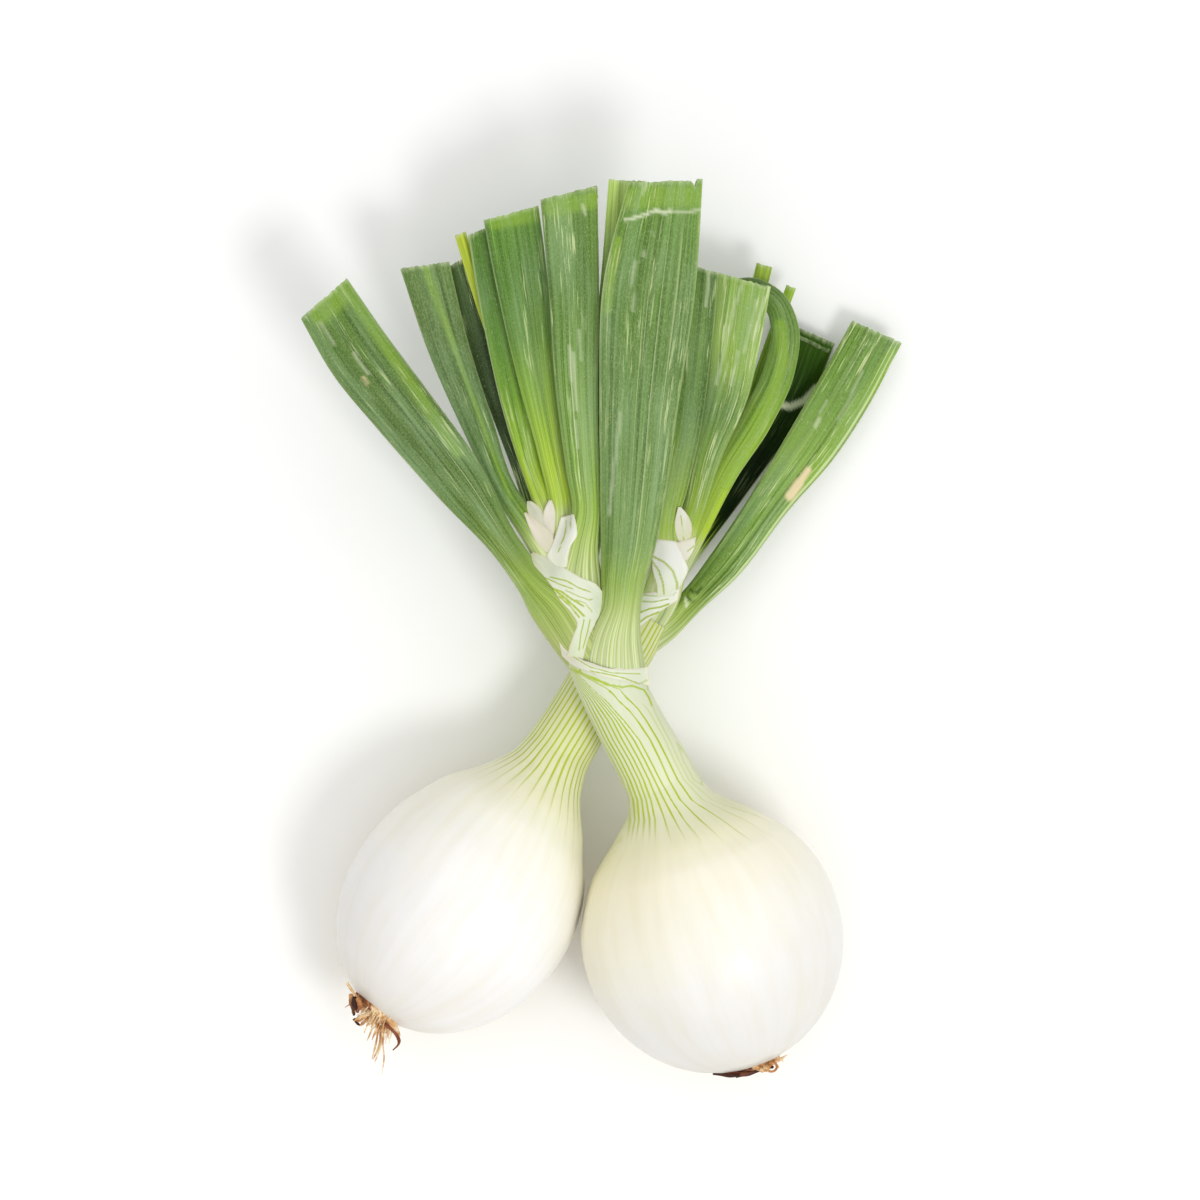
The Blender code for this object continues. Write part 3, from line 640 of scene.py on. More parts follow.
def bulb_piece(name, node, bulb, ringed, veined, mouth_veins=()):
    (rings, grow, _), (turns, striped, spacing) = ringed, veined
    share, full = grow / grow[-1], np.ones(striped.shape)
    shade, rim = bulb_shades(bulb, grow)
    seen_from_above = (np.sin(BULB_ANGLES) > -0.1)[None]
    marks = {
        "shade": shade,
        "vein_shade": shade_along(VEIN_SHADES, share)[:, None] * full[..., None],
        "striped": np.clip(striped, 0, 1) * (1 - rim),
        "spacing": np.clip(spacing / USUAL_SPACING, *SPACING_LIMITS),
        "dull": DULL_NECK * ease(share, *DULL_FROM)[:, None] * full,
        "vein": painted(rings, mouth_veins) * seen_from_above,
        "growth": np.stack((np.cos(BULB_ANGLES)[None] * RIBS_ON_RADIUS * full,
                            np.sin(BULB_ANGLES)[None] * RIBS_ON_RADIUS * full,
                            grow[:, None] / RIB_LENGTH * full), -1),
    }
    return ring_skin(name, rings, marks, skin_finish, "bulb_skin", node, turns=turns)


front_bulb = bulb_piece("front_bulb_scale", "front_bulb", FRONT_BULB, front_rings, front_veins,
                        FRONT_MOUTH_VEINS)
back_bulb = bulb_piece("back_bulb_scale", "back_bulb", BACK_BULB, back_rings, back_veins)
print("bulb faces:", len(front_bulb.data.polygons), len(back_bulb.data.polygons))

# %% [markdown]
# The leaves
# An onion leaf is a hollow tube that lies flattened here, like a strap, and grows out of the neck as a
# pale striped sheath. Its green comes from chlorophyll under a waxy bloom, which is blue-grey, fairly
# dull and easily rubbed off, so scuffs show as darker or paler streaks along the leaf. Fine parallel
# veins run its whole length. The finish draws all of these from how far across and along a point is.

# %% Waxy leaf finish
# Each pattern is noise stretched along the leaf: width and length of its marks in millimetres, detail, and
# a shift that keeps the patterns apart.
LEAF_PATTERNS = {
    "fine": (0.4167, 66.67, 2.0, 0.0), "middling": (1.111, 83.33, 2.0, 3.0),
    "broad": (2.857, 125.0, 2.0, 7.0), "bloom": (5.0, 33.33, 4.0, 13.0),
    "rubbed": (0.5263, 11.11, 3.0, 21.0), "where_rubbed": (4.545, 33.33, 1.0, 29.0),
    "specks": (0.4545, 1.111, 1.0, 37.0), "grain": (0.3333, 0.625, 2.0, 43.0),
    "lines": (0.7692, 142.9, 1.0, 51.0),
}
# Layers from the lowest up: marks of the mesh and patterns that let one show, its colour and its mixing.
# A pattern has the noise values where it starts and is full, and its strength at both.
LEAF_LAYERS = (
    ((), [("fine", 0.36, 0.62, 0.0, 0.55)], "b4bca0", "MULTIPLY"),
    ((), [("middling", 0.34, 0.52, 0.75, 0.0)], "a8b88e", "MULTIPLY"),
    (("leafy",), [("broad", 0.50, 0.64, 0.0, 0.45)], "e9ffb4", "MULTIPLY"),
    # painted light: the yellower green of a leaf where light shines through it
    (("painted_shine",), [("fine", 0.3, 0.6, 0.55, 1.0)], "86ab2c", "MIX"),
    (("leafy", "waxed"), [("bloom", 0.42, 0.66, 0.0, 0.62), ("middling", 0.35, 0.65, 0.35, 1.0)],
     "86a474", "MIX"),
    (("leafy", "waxed"), [("grain", 0.46, 0.70, 0.0, 0.24)], "b4c88c", "MIX"),
    (("scuffed",), [("rubbed", 0.56, 0.66, 0.0, 0.85), ("where_rubbed", 0.48, 0.60, 0.0, 1.0)],
     "c3d196", "MIX"),
    (("scuffed",), [("lines", 0.69, 0.74, 0.0, 0.5)], "c6d69a", "MIX"),
    (("scuffed",), [("specks", 0.73, 0.78, 0.0, 0.35)], "cbd8ac", "MIX"),
    (("stripe_line", "striped"), [], "stripe_shade", "MIX"),
    # a pale line along the edges, partly bloom and partly a painted highlight on the rounded edge, and the
    # pale cut rim
    (("edge",), [], "c6d795", "MIX"),
    (("tan",), [], "e2cfa4", "MIX"),
    # rubbed bloom, and in places a painted highlight where a fold or the bloom catches the light
    (("chalk_and_glint",), [], "d3dbb8", "MIX"),
    # bruises, and painted shade in the hollow of a cut end
    (("bruise_and_hollow_shade",), [], "2c4a12", "MIX"),
)
STRIPE_CORE, STRIPE_EDGE = 0.06, 0.22   # in spaces between stripes
STRIPE_WANDER = 0.7


def waxy_leaf(name, ior):
    made, tree, shader = new_finish(name)
    marks = {label: add(tree, "Attribute", {}, NUMBER, attribute_name=label) for label in (
        "across", "along", "seed", "leafy", "waxed", "scuffed", "painted_shine", "edge", "tan", "chalk_and_glint", "bruise_and_hollow_shade",
        "stripe", "striped")}
    patterns = {}
    for label, (width, length, detail, shift) in LEAF_PATTERNS.items():
        x = add(tree, "Math", {0: marks["across"], 1: 1 / width}, operation="MULTIPLY")
        y = add(tree, "Math", {0: marks["along"], 1: 1 / length}, operation="MULTIPLY")
        z = add(tree, "Math", {0: marks["seed"], 1: shift}, operation="ADD")
        place = add(tree, "CombineXYZ", {0: x, 1: y, 2: z})
        patterns[label] = add(tree, "TexNoise", {"Vector": place, "Scale": 1.0, "Detail": detail})
    wander = add(tree, "Math", {0: patterns["broad"], 1: STRIPE_WANDER}, operation="MULTIPLY")
    turn = add(tree, "Math", {0: marks["stripe"], 1: wander}, operation="ADD")
    away = add(tree, "Math", {0: turn, 1: 0.5}, operation="PINGPONG")
    marks["stripe_line"] = add(tree, "MapRange", {0: away, 1: STRIPE_CORE, 2: STRIPE_EDGE, 3: 1.0, 4: 0.0},
                               interpolation_type="SMOOTHSTEP")
    shades = {label: add(tree, "Attribute", {}, COLOUR, attribute_name=label)
              for label in ("shade", "stripe_shade")}
    shade = shades["shade"]
    for needed, levels, colour, way in LEAF_LAYERS:
        strength = 1.0
        for label in needed:
            strength = add(tree, "Math", {0: strength, 1: marks[label]}, operation="MULTIPLY")
        for label, start, full, weakest, strongest in levels:
            level = add(tree, "MapRange", {0: patterns[label], 1: start, 2: full, 3: weakest, 4: strongest})
            strength = add(tree, "Math", {0: strength, 1: level}, operation="MULTIPLY")
        shade = add(tree, "Mix", {0: strength, 6: shade, 7: shades.get(colour, colour)}, 2,
                    data_type="RGBA", blend_type=way)
    scratches = add(tree, "Math", {0: patterns["rubbed"], 1: 0.6}, operation="MULTIPLY")
    relief = add(tree, "Math", {0: patterns["fine"], 1: scratches}, operation="ADD")
    bump = add(tree, "Bump", {"Height": relief, "Strength": 0.5, "Distance": 0.00025})
    rough = add(tree, "MapRange", {0: patterns["bloom"], 1: 0.3, 2: 0.7, 3: 0.42, 4: 0.58})
    connect(tree, shader, Base_Color=shade, Roughness=rough, Normal=bump, IOR=ior,
            Subsurface_Weight=0.05, Subsurface_Radius=(0.6, 1.0, 0.3), Subsurface_Scale=0.001)
    return made


leaf_finish = waxy_leaf("waxy_onion_leaf", 1.36)
shaded_finish = waxy_leaf("shaded_onion_leaf", 1.12)  # the lowest leaf lies in shade: this copy of the finish hardly shines, as painted shade
print("finishes:", leaf_finish.name, shaded_finish.name)

# %% [markdown]
# Sixteen leaves differ in route, width and shade but not in kind, so they are rows of two tables and one
# builder makes them all. The routes were drawn over the picture. The heights are guesses that keep the
# overlaps of the picture in order. The folds are low creases that the light picks out along a blade.

# %% Routes and shades of the leaves
# Each route is (x, y, z, heading in degrees from +Y to +X, width, thickness), from inside the neck to the
# cut tip. "green" has the rows where the pale sheath starts and ends turning green. "shades" go from the
# first to the tip. "folds" have a place across from -1 to 1, half width and height. "tip" has places
# across the cut in millimetres, and how far it stands out there.
FRONT_LEAVES = [
    # Leaf 1 lies behind leaf 2, and its two dark first shades are painted shade.
    {"green": (0.9, 1.8), "shades": ("5e7c37", "5e7c37", "7c9a4a", "b0c87c", "eefcae"), "route": [
        (-3.0, -19.0, 39.0, -20, 8.5, 8.0), (-5.0, -3.0, 35.6, -8, 7.4, 6.6),
        (-3.0, 22.5, 37.2, 2, 8.5, 4.0), (1.5, 56.5, 43.5, 4, 10.7, 3.4),
        (5.5, 87.0, 47.0, 3, 11.2, 3.2), (7.5, 117.5, 50.5, 3, 10.1, 3.0)]},
    {"green": (2.2, 4.2), "shades": ("c4d488", "98b27a", "84a06c", "78965c", "799957", "7fa63c"),
     "stripes": 27, "folds": [(-0.62, 0.25, 0.5), (0.1, 0.5, 0.5), (0.7, 0.3, 0.4)],
     "tip": ((-13, -0.7), (-9.5, 0.0), (-3, 0.2), (5.0, 0.4), (7.5, 0.2), (8.3, -1.9), (9.2, 0.8),
             (12, 0.6)), "route": [
        (4.5, -29.5, 42.2, -14, 15.8, 15.5), (2.8, -19.0, 43.4, 4, 20.3, 18.0),
        (3.5, -10.5, 44.5, 5, 16.3, 16.5), (5.5, -3.0, 46.0, 8, 11.8, 13.0),
        (6.5, 5.5, 48.0, 3, 12.4, 9.5), (7.9, 15.5, 50.4, 3, 15.2, 6.0),
        (9.3, 32.0, 52.6, 3, 18.8, 4.2), (11.1, 58.5, 54.0, 3, 23.0, 3.6),
        (14.0, 89.5, 55.2, 3, 25.8, 3.4), (18.2, 116.5, 56.5, -1, 20.8, 3.0)]},
    {"green": (0.8, 3.4), "shades": ("cbd880", "b2c46a", "748f4a", "67824d", "6a8649", "6c8f3a"),
     "stripes": 33, "sheath": ("c6cc94", "adbd66"), "folds": [(-0.35, 0.3, 0.5), (0.45, 0.35, 0.4)],
     "route": [
        (1.5, -22.5, 42.5, -18, 13.0, 13.5), (-5.5, -11.5, 44.0, -18, 15.8, 15.0),
        (-11.5, -2.0, 45.0, -22, 16.3, 13.0), (-19.0, 5.2, 46.0, -36, 9.5, 9.5),
        (-25.5, 13.8, 46.8, -38, 8.6, 6.0), (-38.9, 32.6, 47.5, -37, 15.0, 4.4),
        (-55.2, 53.1, 47.0, -38, 17.6, 3.6), (-67.5, 68.8, 46.2, -37, 18.6, 3.4),
        (-77.6, 84.7, 45.5, -41, 17.3, 3.0)]},
    {"green": (2.0, 4.3), "shades": ("e8f49c", "bcd472", "aac48a", "92ae78", "7a9a5a", "8aaa50"),
     "stripes": 26, "folds": [(-0.45, 0.3, 0.35), (0.55, 0.3, 0.35)], "scuffed": 1.3, "route": [
        (-3.5, -15.5, 43.5, -15, 12.4, 12.0), (-5.5, -3.5, 44.5, -12, 14.1, 13.5),
        (-7.5, 5.0, 45.7, -8, 16.3, 12.0), (-6.2, 14.0, 48.0, -2, 11.4, 7.4),
        (-4.0, 24.0, 49.8, 0, 7.8, 4.8), (-4.9, 36.5, 50.4, -2, 9.2, 4.0),
        (-6.5, 58.5, 50.6, -3, 11.7, 3.6), (-7.3, 87.0, 50.8, -3, 14.4, 3.4),
        (-8.7, 114.0, 51.0, -14, 16.3, 3.0)]},
    {"green": (1.5, 2.5), "shades": ("93aa4f", "7b9c54", "6e8c51", "6a8457", "738a5e", "809868"),
     "folds": [(0.25, 0.3, 0.9)], "route": [
        (-7.5, -0.5, 43.5, -18, 9.6, 9.5), (-13.0, 11.5, 44.2, -25, 10.1, 9.0),
        (-18.5, 19.0, 44.0, -30, 7.9, 7.0), (-26.0, 29.5, 42.8, -28, 6.4, 5.0),
        (-34.5, 49.5, 41.4, -25, 9.0, 3.8), (-43.0, 72.0, 40.0, -20, 11.9, 3.4),
        (-49.5, 94.5, 38.5, -8, 14.1, 3.0)]},
    {"green": (1.6, 2.2), "shades": ("f0fc5c", "dcee62", "b4cf6a", "80a256", "719650", "74a036"),
     "waxed": 0.7, "folds": [(-0.5, 0.4, 0.3)], "route": [
        (-9.0, 5.5, 44.3, -14, 7.9, 8.0), (-10.6, 17.5, 43.8, -8, 8.2, 6.8),
        (-11.0, 27.0, 44.0, -5, 7.0, 5.0), (-13.5, 39.5, 44.6, -8, 7.3, 3.8),
        (-17.5, 60.5, 45.0, -9, 10.3, 3.4), (-21.2, 84.5, 45.2, -9, 14.0, 3.2),
        (-25.0, 108.7, 45.4, -15, 15.8, 3.0)]},
    # Leaf 7 lies low between leaves 5 and 8, and its near-black shades are painted shade.
    {"green": (1.0, 1.5), "shades": ("2c4016", "2e4219", "3a4f24", "4c6330"), "waxed": 0.4, "route": [
        (-12.5, 10.0, 43.0, -15, 5.6, 6.0), (-16.8, 22.0, 40.6, -20, 6.2, 5.0),
        (-21.6, 36.5, 36.2, -18, 6.0, 3.2), (-29.5, 60.5, 35.2, -16, 7.9, 3.2),
        (-40.0, 96.0, 34.6, -28, 7.9, 3.0)]},
    {"green": (1.1, 1.6), "shades": ("fbff50", "c8de3e", "9abc4e", "82aa52", "68903c", "6c943a"),
     "waxed": 0.6, "route": [
        (-11.0, 12.5, 43.6, -12, 5.1, 6.0), (-14.5, 24.0, 42.4, -12, 6.0, 5.4),
        (-18.9, 35.5, 40.9, -14, 5.6, 3.6), (-24.0, 56.5, 40.4, -13, 8.2, 3.2),
        (-28.8, 80.5, 40.2, -12, 9.4, 3.0), (-33.3, 104.5, 40.0, -24, 8.5, 3.0)]},
    {"green": (0.6, 1.2), "shades": ("bccb44", "d4de48", "eaea48"), "waxed": 0.2, "scuffed": 0.2, "route": [
        (-14.0, 19.5, 41.0, -12, 2.6, 3.0), (-17.6, 34.5, 38.3, -14, 2.2, 1.2),
        (-25.5, 59.5, 37.7, -17, 2.5, 1.2), (-33.0, 81.5, 37.4, -17, 2.8, 1.2),
        (-39.5, 103.5, 37.4, -20, 3.4, 1.2)]},
]
BACK_LEAVES = [
    {"green": (0.5, 2.0), "shades": ("dfe898", "8fab48", "9cba66", "b4cc84", "8dad5e", "80a04e"),
     "stripes": 23, "folds": [(0.45, 0.3, 0.6), (-0.4, 0.3, 0.3)], "scuffed": 1.6, "route": [
        (9.0, -13.0, 21.2, 35, 12.0, 12.0), (18.0, -8.0, 20.5, 45, 8.6, 9.5),
        (26.0, -0.5, 18.6, 48, 7.6, 7.5), (35.3, 9.6, 16.6, 44, 10.0, 5.6),
        (49.6, 29.3, 13.0, 36, 11.6, 4.2), (61.1, 45.0, 10.6, 34, 15.0, 3.6),
        (70.4, 60.0, 9.4, 31, 16.4, 3.4), (79.8, 77.2, 9.6, 24, 16.0, 3.0)]},
    {"green": (2.3, 3.2), "shades": ("e0f080", "b4cc60", "70953e", "8dac70", "729442"), "route": [
        (8.5, -12.0, 22.0, 28, 12.6, 13.0), (16.5, 3.0, 23.5, 14, 13.7, 13.0),
        (18.5, 10.5, 24.6, 12, 12.0, 10.0), (17.8, 18.5, 26.8, 8, 9.1, 5.6),
        (20.0, 34.0, 29.0, 9, 10.8, 4.2), (23.0, 51.0, 30.2, 8, 11.9, 3.6),
        (25.5, 74.0, 31.0, 7, 13.1, 3.4), (27.0, 94.5, 31.6, 15, 13.6, 3.0)]},
    # Back leaf 3 lies lowest, under leaves 1 and 5. Its near-black shades, its scant wax and scuffs and the
    # finish that hardly shines are painted shade.
    {"green": (0.8, 1.5), "shades": ("385010", "142604", "0c1c04", "264210", "466620"),
     "waxed": 0.05, "scuffed": 0.12, "finish": shaded_finish, "route": [
        (18.5, 4.5, 21.0, 25, 8.0, 9.0), (24.0, 13.0, 15.6, 34, 8.2, 6.0),
        (34.0, 28.0, 7.8, 36, 10.3, 4.2), (43.0, 43.0, 4.0, 34, 13.5, 3.8),
        (48.5, 52.0, 1.5, 32, 15.5, 3.8), (54.5, 63.0, 1.4, 30, 16.7, 3.8),
        (59.8, 77.5, 6.0, 24, 17.6, 3.0)]},
    {"green": (0.9, 1.5), "shades": ("cfe44a", "a8c050", "88a864", "d0e694", "bcd676"),
     "scuffed": 1.6, "route": [
        (19.5, 6.0, 23.8, 20, 8.0, 9.0), (24.4, 18.0, 23.6, 16, 5.8, 4.8),
        (27.0, 27.0, 24.6, 15, 6.0, 4.0), (30.2, 40.0, 25.6, 15, 8.0, 3.8),
        (36.3, 59.5, 26.6, 14, 12.6, 3.4), (39.0, 77.0, 27.4, 12, 14.8, 3.4),
        (41.0, 91.0, 28.0, 15, 15.5, 3.0)]},
    {"green": (0.6, 1.05), "shades": ("f6fa54", "dcec48", "aac644", "92b254", "8aa868", "5c7c40"),
     "waxed": 0.7, "scuffed": 0.3, "route": [
        (20.5, 6.0, 21.8, 25, 7.0, 8.0), (28.4, 21.0, 18.8, 27, 6.3, 5.2),
        (35.5, 36.5, 18.8, 30, 8.0, 5.0), (45.0, 52.0, 20.0, 28, 9.1, 4.8),
        (51.5, 66.5, 21.0, 12, 8.8, 4.8), (52.8, 78.0, 21.0, -12, 8.0, 4.8),
        (49.6, 85.6, 20.8, -45, 6.9, 4.8), (43.5, 88.8, 20.4, -82, 6.9, 4.4),
        (36.5, 87.8, 19.8, -105, 7.2, 3.8)]},
    {"green": (0.5, 1.0), "shades": ("bccc48", "b4c84c", "c0d458"), "scuffed": 0.2, "waxed": 0.2, "route": [
        (21.5, 9.5, 21.3, 15, 4.0, 5.0), (23.4, 21.0, 19.7, 15, 3.2, 3.0),
        (26.6, 32.0, 19.5, 18, 3.6, 3.2), (33.0, 48.0, 18.8, 18, 4.2, 3.2),
        (39.5, 66.0, 17.0, 15, 4.6, 3.2), (47.2, 96.0, 14.8, 18, 4.9, 3.0)]},
    {"green": (0.3, 0.9), "shades": ("b4c644", "b0cc4c", "b8d254"), "scuffed": 0.2, "waxed": 0.2, "route": [
        (26.5, 16.0, 18.0, 28, 3.0, 3.0), (31.3, 25.5, 14.6, 28, 2.8, 2.0),
        (38.5, 43.0, 12.6, 24, 2.8, 2.2), (48.0, 71.5, 11.6, 22, 2.8, 2.2),
        (55.0, 90.0, 11.2, 22, 3.0, 2.2)]},
]
print("leaves:", len(FRONT_LEAVES), "and", len(BACK_LEAVES))

# %% [markdown]
# The marks of wear and of painted light on the leaves are strokes in four colours. Chalk is rubbed bloom,
# and in places a painted highlight. Lime is painted light, where the light shines through a leaf. Tan is a
# scar, and dark is a bruise. Random noise gives the rest of the wear, but these few are what makes it this
# bunch.

# %% Wear and painted light drawn on the leaves
# By the number of the leaf: half width and route in pixels.
FRONT_WEAR_AND_LIGHT = {
    2: {"chalk_and_glint": [(1.6, [(625, 220), (638, 217), (652, 212)]),
                  (1.9, [(652, 212), (656, 210), (664, 213), (670, 211)]),
                  (1.0, [(670, 211), (686, 212), (701, 210)]), (0.6, [(643, 178), (643, 194)]),
                  (0.6, [(634, 261), (633, 285), (633, 310)]), (0.6, [(653, 231), (653, 236)]),
                  (0.7, [(643, 251), (644, 256)]), (0.6, [(621, 412), (615, 458), (609, 514)])],
        "painted_shine": [(12.0, [(634, 198), (660, 196), (694, 196)]), (4.0, [(618, 240), (612, 275), (608, 310)])]},
    3: {"painted_shine": [(13.0, [(320, 312), (345, 290)]),
                 (6.0, [(352, 296), (376, 332), (400, 368), (430, 412), (458, 452)])],
        "chalk_and_glint": [(0.8, [(354, 352), (362, 366), (368, 374)]), (0.6, [(320, 322), (334, 345)])],
        "tan": [(1.3, [(362, 377), (368, 385)])]},
    # On leaf 4 the chalk is rubbed bloom with painted glints.
    4: {"painted_shine": [(9.0, [(552, 208), (592, 200)])],
        "chalk_and_glint": [(0.6, [(569, 345), (571, 380)]), (0.8, [(573, 352), (575, 385), (577, 410)]),
                  (0.6, [(579, 330), (581, 360)]), (0.6, [(575, 420), (578, 448)]),
                  (0.9, [(583, 205), (585, 214)])]},
    5: {"painted_shine": [(3.6, [(426, 268), (439, 307), (456, 351)]),
                 (2.6, [(456, 351), (473, 398), (491, 446), (510, 498)])]},
    6: {"painted_shine": [(8.0, [(495, 222), (536, 214)])]},
}
BACK_WEAR_AND_LIGHT = {
    1: {"tan": [(5.0, [(790, 496), (799, 483)]), (3.5, [(799, 483), (808, 470)])],
        "chalk_and_glint": [(1.6, [(685, 598), (687, 606)]), (0.9, [(815, 427), (820, 418)]),
                  (0.6, [(820, 412), (827, 400)]), (0.6, [(838, 420), (850, 398), (862, 372)])],
        "painted_shine": [(7.0, [(893, 352), (868, 392), (835, 440), (808, 480)])],
        "bruise_and_hollow_shade": [(1.5, [(690, 590), (697, 593), (701, 588)]), (1.2, [(688, 597), (694, 602)])]},
    2: {"chalk_and_glint": [(0.9, [(709, 270), (708, 290), (706, 306)])]},
    # On back leaf 3 the chalk is a painted highlight where a fold catches the light.
    3: {"chalk_and_glint": [(3.4, [(778, 404), (790, 407), (804, 401), (816, 388)])]},
    4: {"chalk_and_glint": [(0.8, [(742, 285), (735, 305), (728, 330), (722, 362), (716, 384)]),
                  (0.6, [(757, 300), (750, 330), (744, 352)]),
                  (0.7, [(765, 298), (757, 325), (753, 340)]), (0.7, [(738, 352), (731, 385)])],
        "painted_shine": [(9.0, [(752, 290), (744, 330), (735, 370)])],
        "bruise_and_hollow_shade": [(1.6, [(760, 283), (764, 285)])]},
    5: {"painted_shine": [(6.0, [(780, 325), (783, 360), (772, 400), (750, 445), (728, 485)])]},
}
WEAR_AND_LIGHT_STRENGTH = {"chalk_and_glint": 0.8, "painted_shine": 0.7, "tan": 0.9, "bruise_and_hollow_shade": 0.8}
print("worn leaves:", len(FRONT_WEAR_AND_LIGHT) + len(BACK_WEAR_AND_LIGHT))

# %% [markdown]
# A leaf is a tube that lies flat. Each ring is an oval across the route, as wide and as thick as its row
# says, with the folds added on top. The cut end was made by one stroke of a knife, which leaves a ragged
# line and a thin pale rim round a dark hollow. A solid end would look like a toy's.

# %% Rings of a leaf
LEAF_SIDES = 72
LEAF_STEP = 0.7             # millimetres between rings
LEAF_ANGLES = (np.arange(LEAF_SIDES) + 0.5) * math.tau / LEAF_SIDES
EDGE_WAVE = 0.012           # share of the width by which the edges wander
RAGGED = 0.22               # millimetres
CUT_REACH = 6.0             # millimetres that the line of the cut stretches
THICKEST_WALL, HOLLOW = 0.5, 3.0
STRAIGHT_CUT = ((-20, 0.0), (20, 0.0))


def leaf_rings(leaf, seed):
    """Rings round a leaf, along it how far, how much of the blade and how green, and its pale cut rim."""
    rows = np.array(leaf["route"], float)
    places, run = even_places(rows, LEAF_STEP, 3)
    row = smooth_rows(rows, places)
    draw = random.Random(seed)
    pale_end, sheath_end = np.interp(leaf["green"], places, run)
    blade = np.clip((run - pale_end) / (run[-1] - pale_end), 0, 1)
    green = ease(run, pale_end, sheath_end)
    turn = np.radians(row[:, 3])
    sideways = np.stack((np.cos(turn), -np.sin(turn), np.zeros(len(row))), 1)
    wave = sum(draw.uniform(0.3, 1.0) * np.sin(run / draw.uniform(6.0, 20.0) + draw.uniform(0, 6.3))
               for _ in range(3))
    half = row[:, 4] / 2 * (1 + EDGE_WAVE * wave * green)
    half_thick = row[:, 5] / 2
    share = np.cos(LEAF_ANGLES)[None] + 0 * run[:, None]
    out = half[:, None] * share
    lift = half_thick[:, None] * np.sin(LEAF_ANGLES)[None]
    for where, width, height in leaf.get("folds", ()):
        tent = np.clip(1 - np.abs(share - where) / width, 0, 1)
        lift = lift + height * tent * tent * (3 - 2 * tent) * green[:, None]
    rings = row[:, None, :3] + out[..., None] * sideways[:, None]
    rings[..., 2] += lift
    forward = np.stack((np.sin(turn), np.cos(turn), np.zeros(len(row))), 1)
    cut_at, cut_by = zip(*leaf.get("tip", STRAIGHT_CUT))
    cut = np.interp(out[-1], cut_at, cut_by)
    cut += [draw.uniform(-RAGGED, RAGGED) for _ in range(LEAF_SIDES)]
    near_tip = ease(run, run[-1] - CUT_REACH, run[-1])
    rim = np.array([draw.uniform(0.2, 1.0) for _ in range(LEAF_SIDES)])
    rings += near_tip[:, None, None] * cut[None, :, None] * forward[-1]
    centre, wall = row[-1, :3], min(THICKEST_WALL, 0.3 * row[-1, 5])
    lip = rings[-1].copy()
    inward = np.array((0, 0, 1.0))[None] * np.sign(np.sin(LEAF_ANGLES))[:, None] * -wall
    lip = lip + inward * np.minimum(1, np.abs(np.sin(LEAF_ANGLES)) * 2)[:, None]
    lip += (centre - lip) * (wall / half[-1])
    rings = np.concatenate((rings, lip[None], (lip - HOLLOW * forward[-1])[None]))
    rings[..., 2] = np.maximum(rings[..., 2], 0.0)
    run, blade, green = (np.concatenate((values, values[-1:], values[-1:]))
                         for values in (run, blade, green))
    cut_rim = ease(run, run[-1] - 1.0, run[-1] - 0.3)[:, None] * rim[None]
    return rings, run, blade, green, sheath_end, cut_rim


print("rings of the middle leaf:", len(leaf_rings(FRONT_LEAVES[1], 2)[0]))

# %% [markdown]
# The finish reads everything from the marks on a leaf's points, so this step only works them out: the
# shades along it, places across and along in millimetres, the stripes of the sheath, the wear, and the
# painted light and shade.

# %% Skins of the leaves
LEAF_TONE = np.array((0.67, 0.77, 0.43))    # gloss and pale marks brighten a leaf, so it starts darker
STRIPE_GREEN = "9cb834"
SHEATH_SHADES = ("dfe4c6", "ccd88c")
USUAL_STRIPES = 9
STRIPE_STRENGTH = 0.9
STRIPES_FADE = (-3.0, 8.0)  # millimetres from the end of the sheath
# The pale line along the edges is partly bloom and partly a painted highlight.
EDGE_PALE = 0.275           # strength of the pale line along the edges of a blade
CUT_PALE = 0.45             # and round its cut end
# Shade painted into the hollow of a cut end.
HOLLOW_SHADE = 0.7
FINEST_STROKE = 1.6         # pixels of half width that the points of a leaf can hold


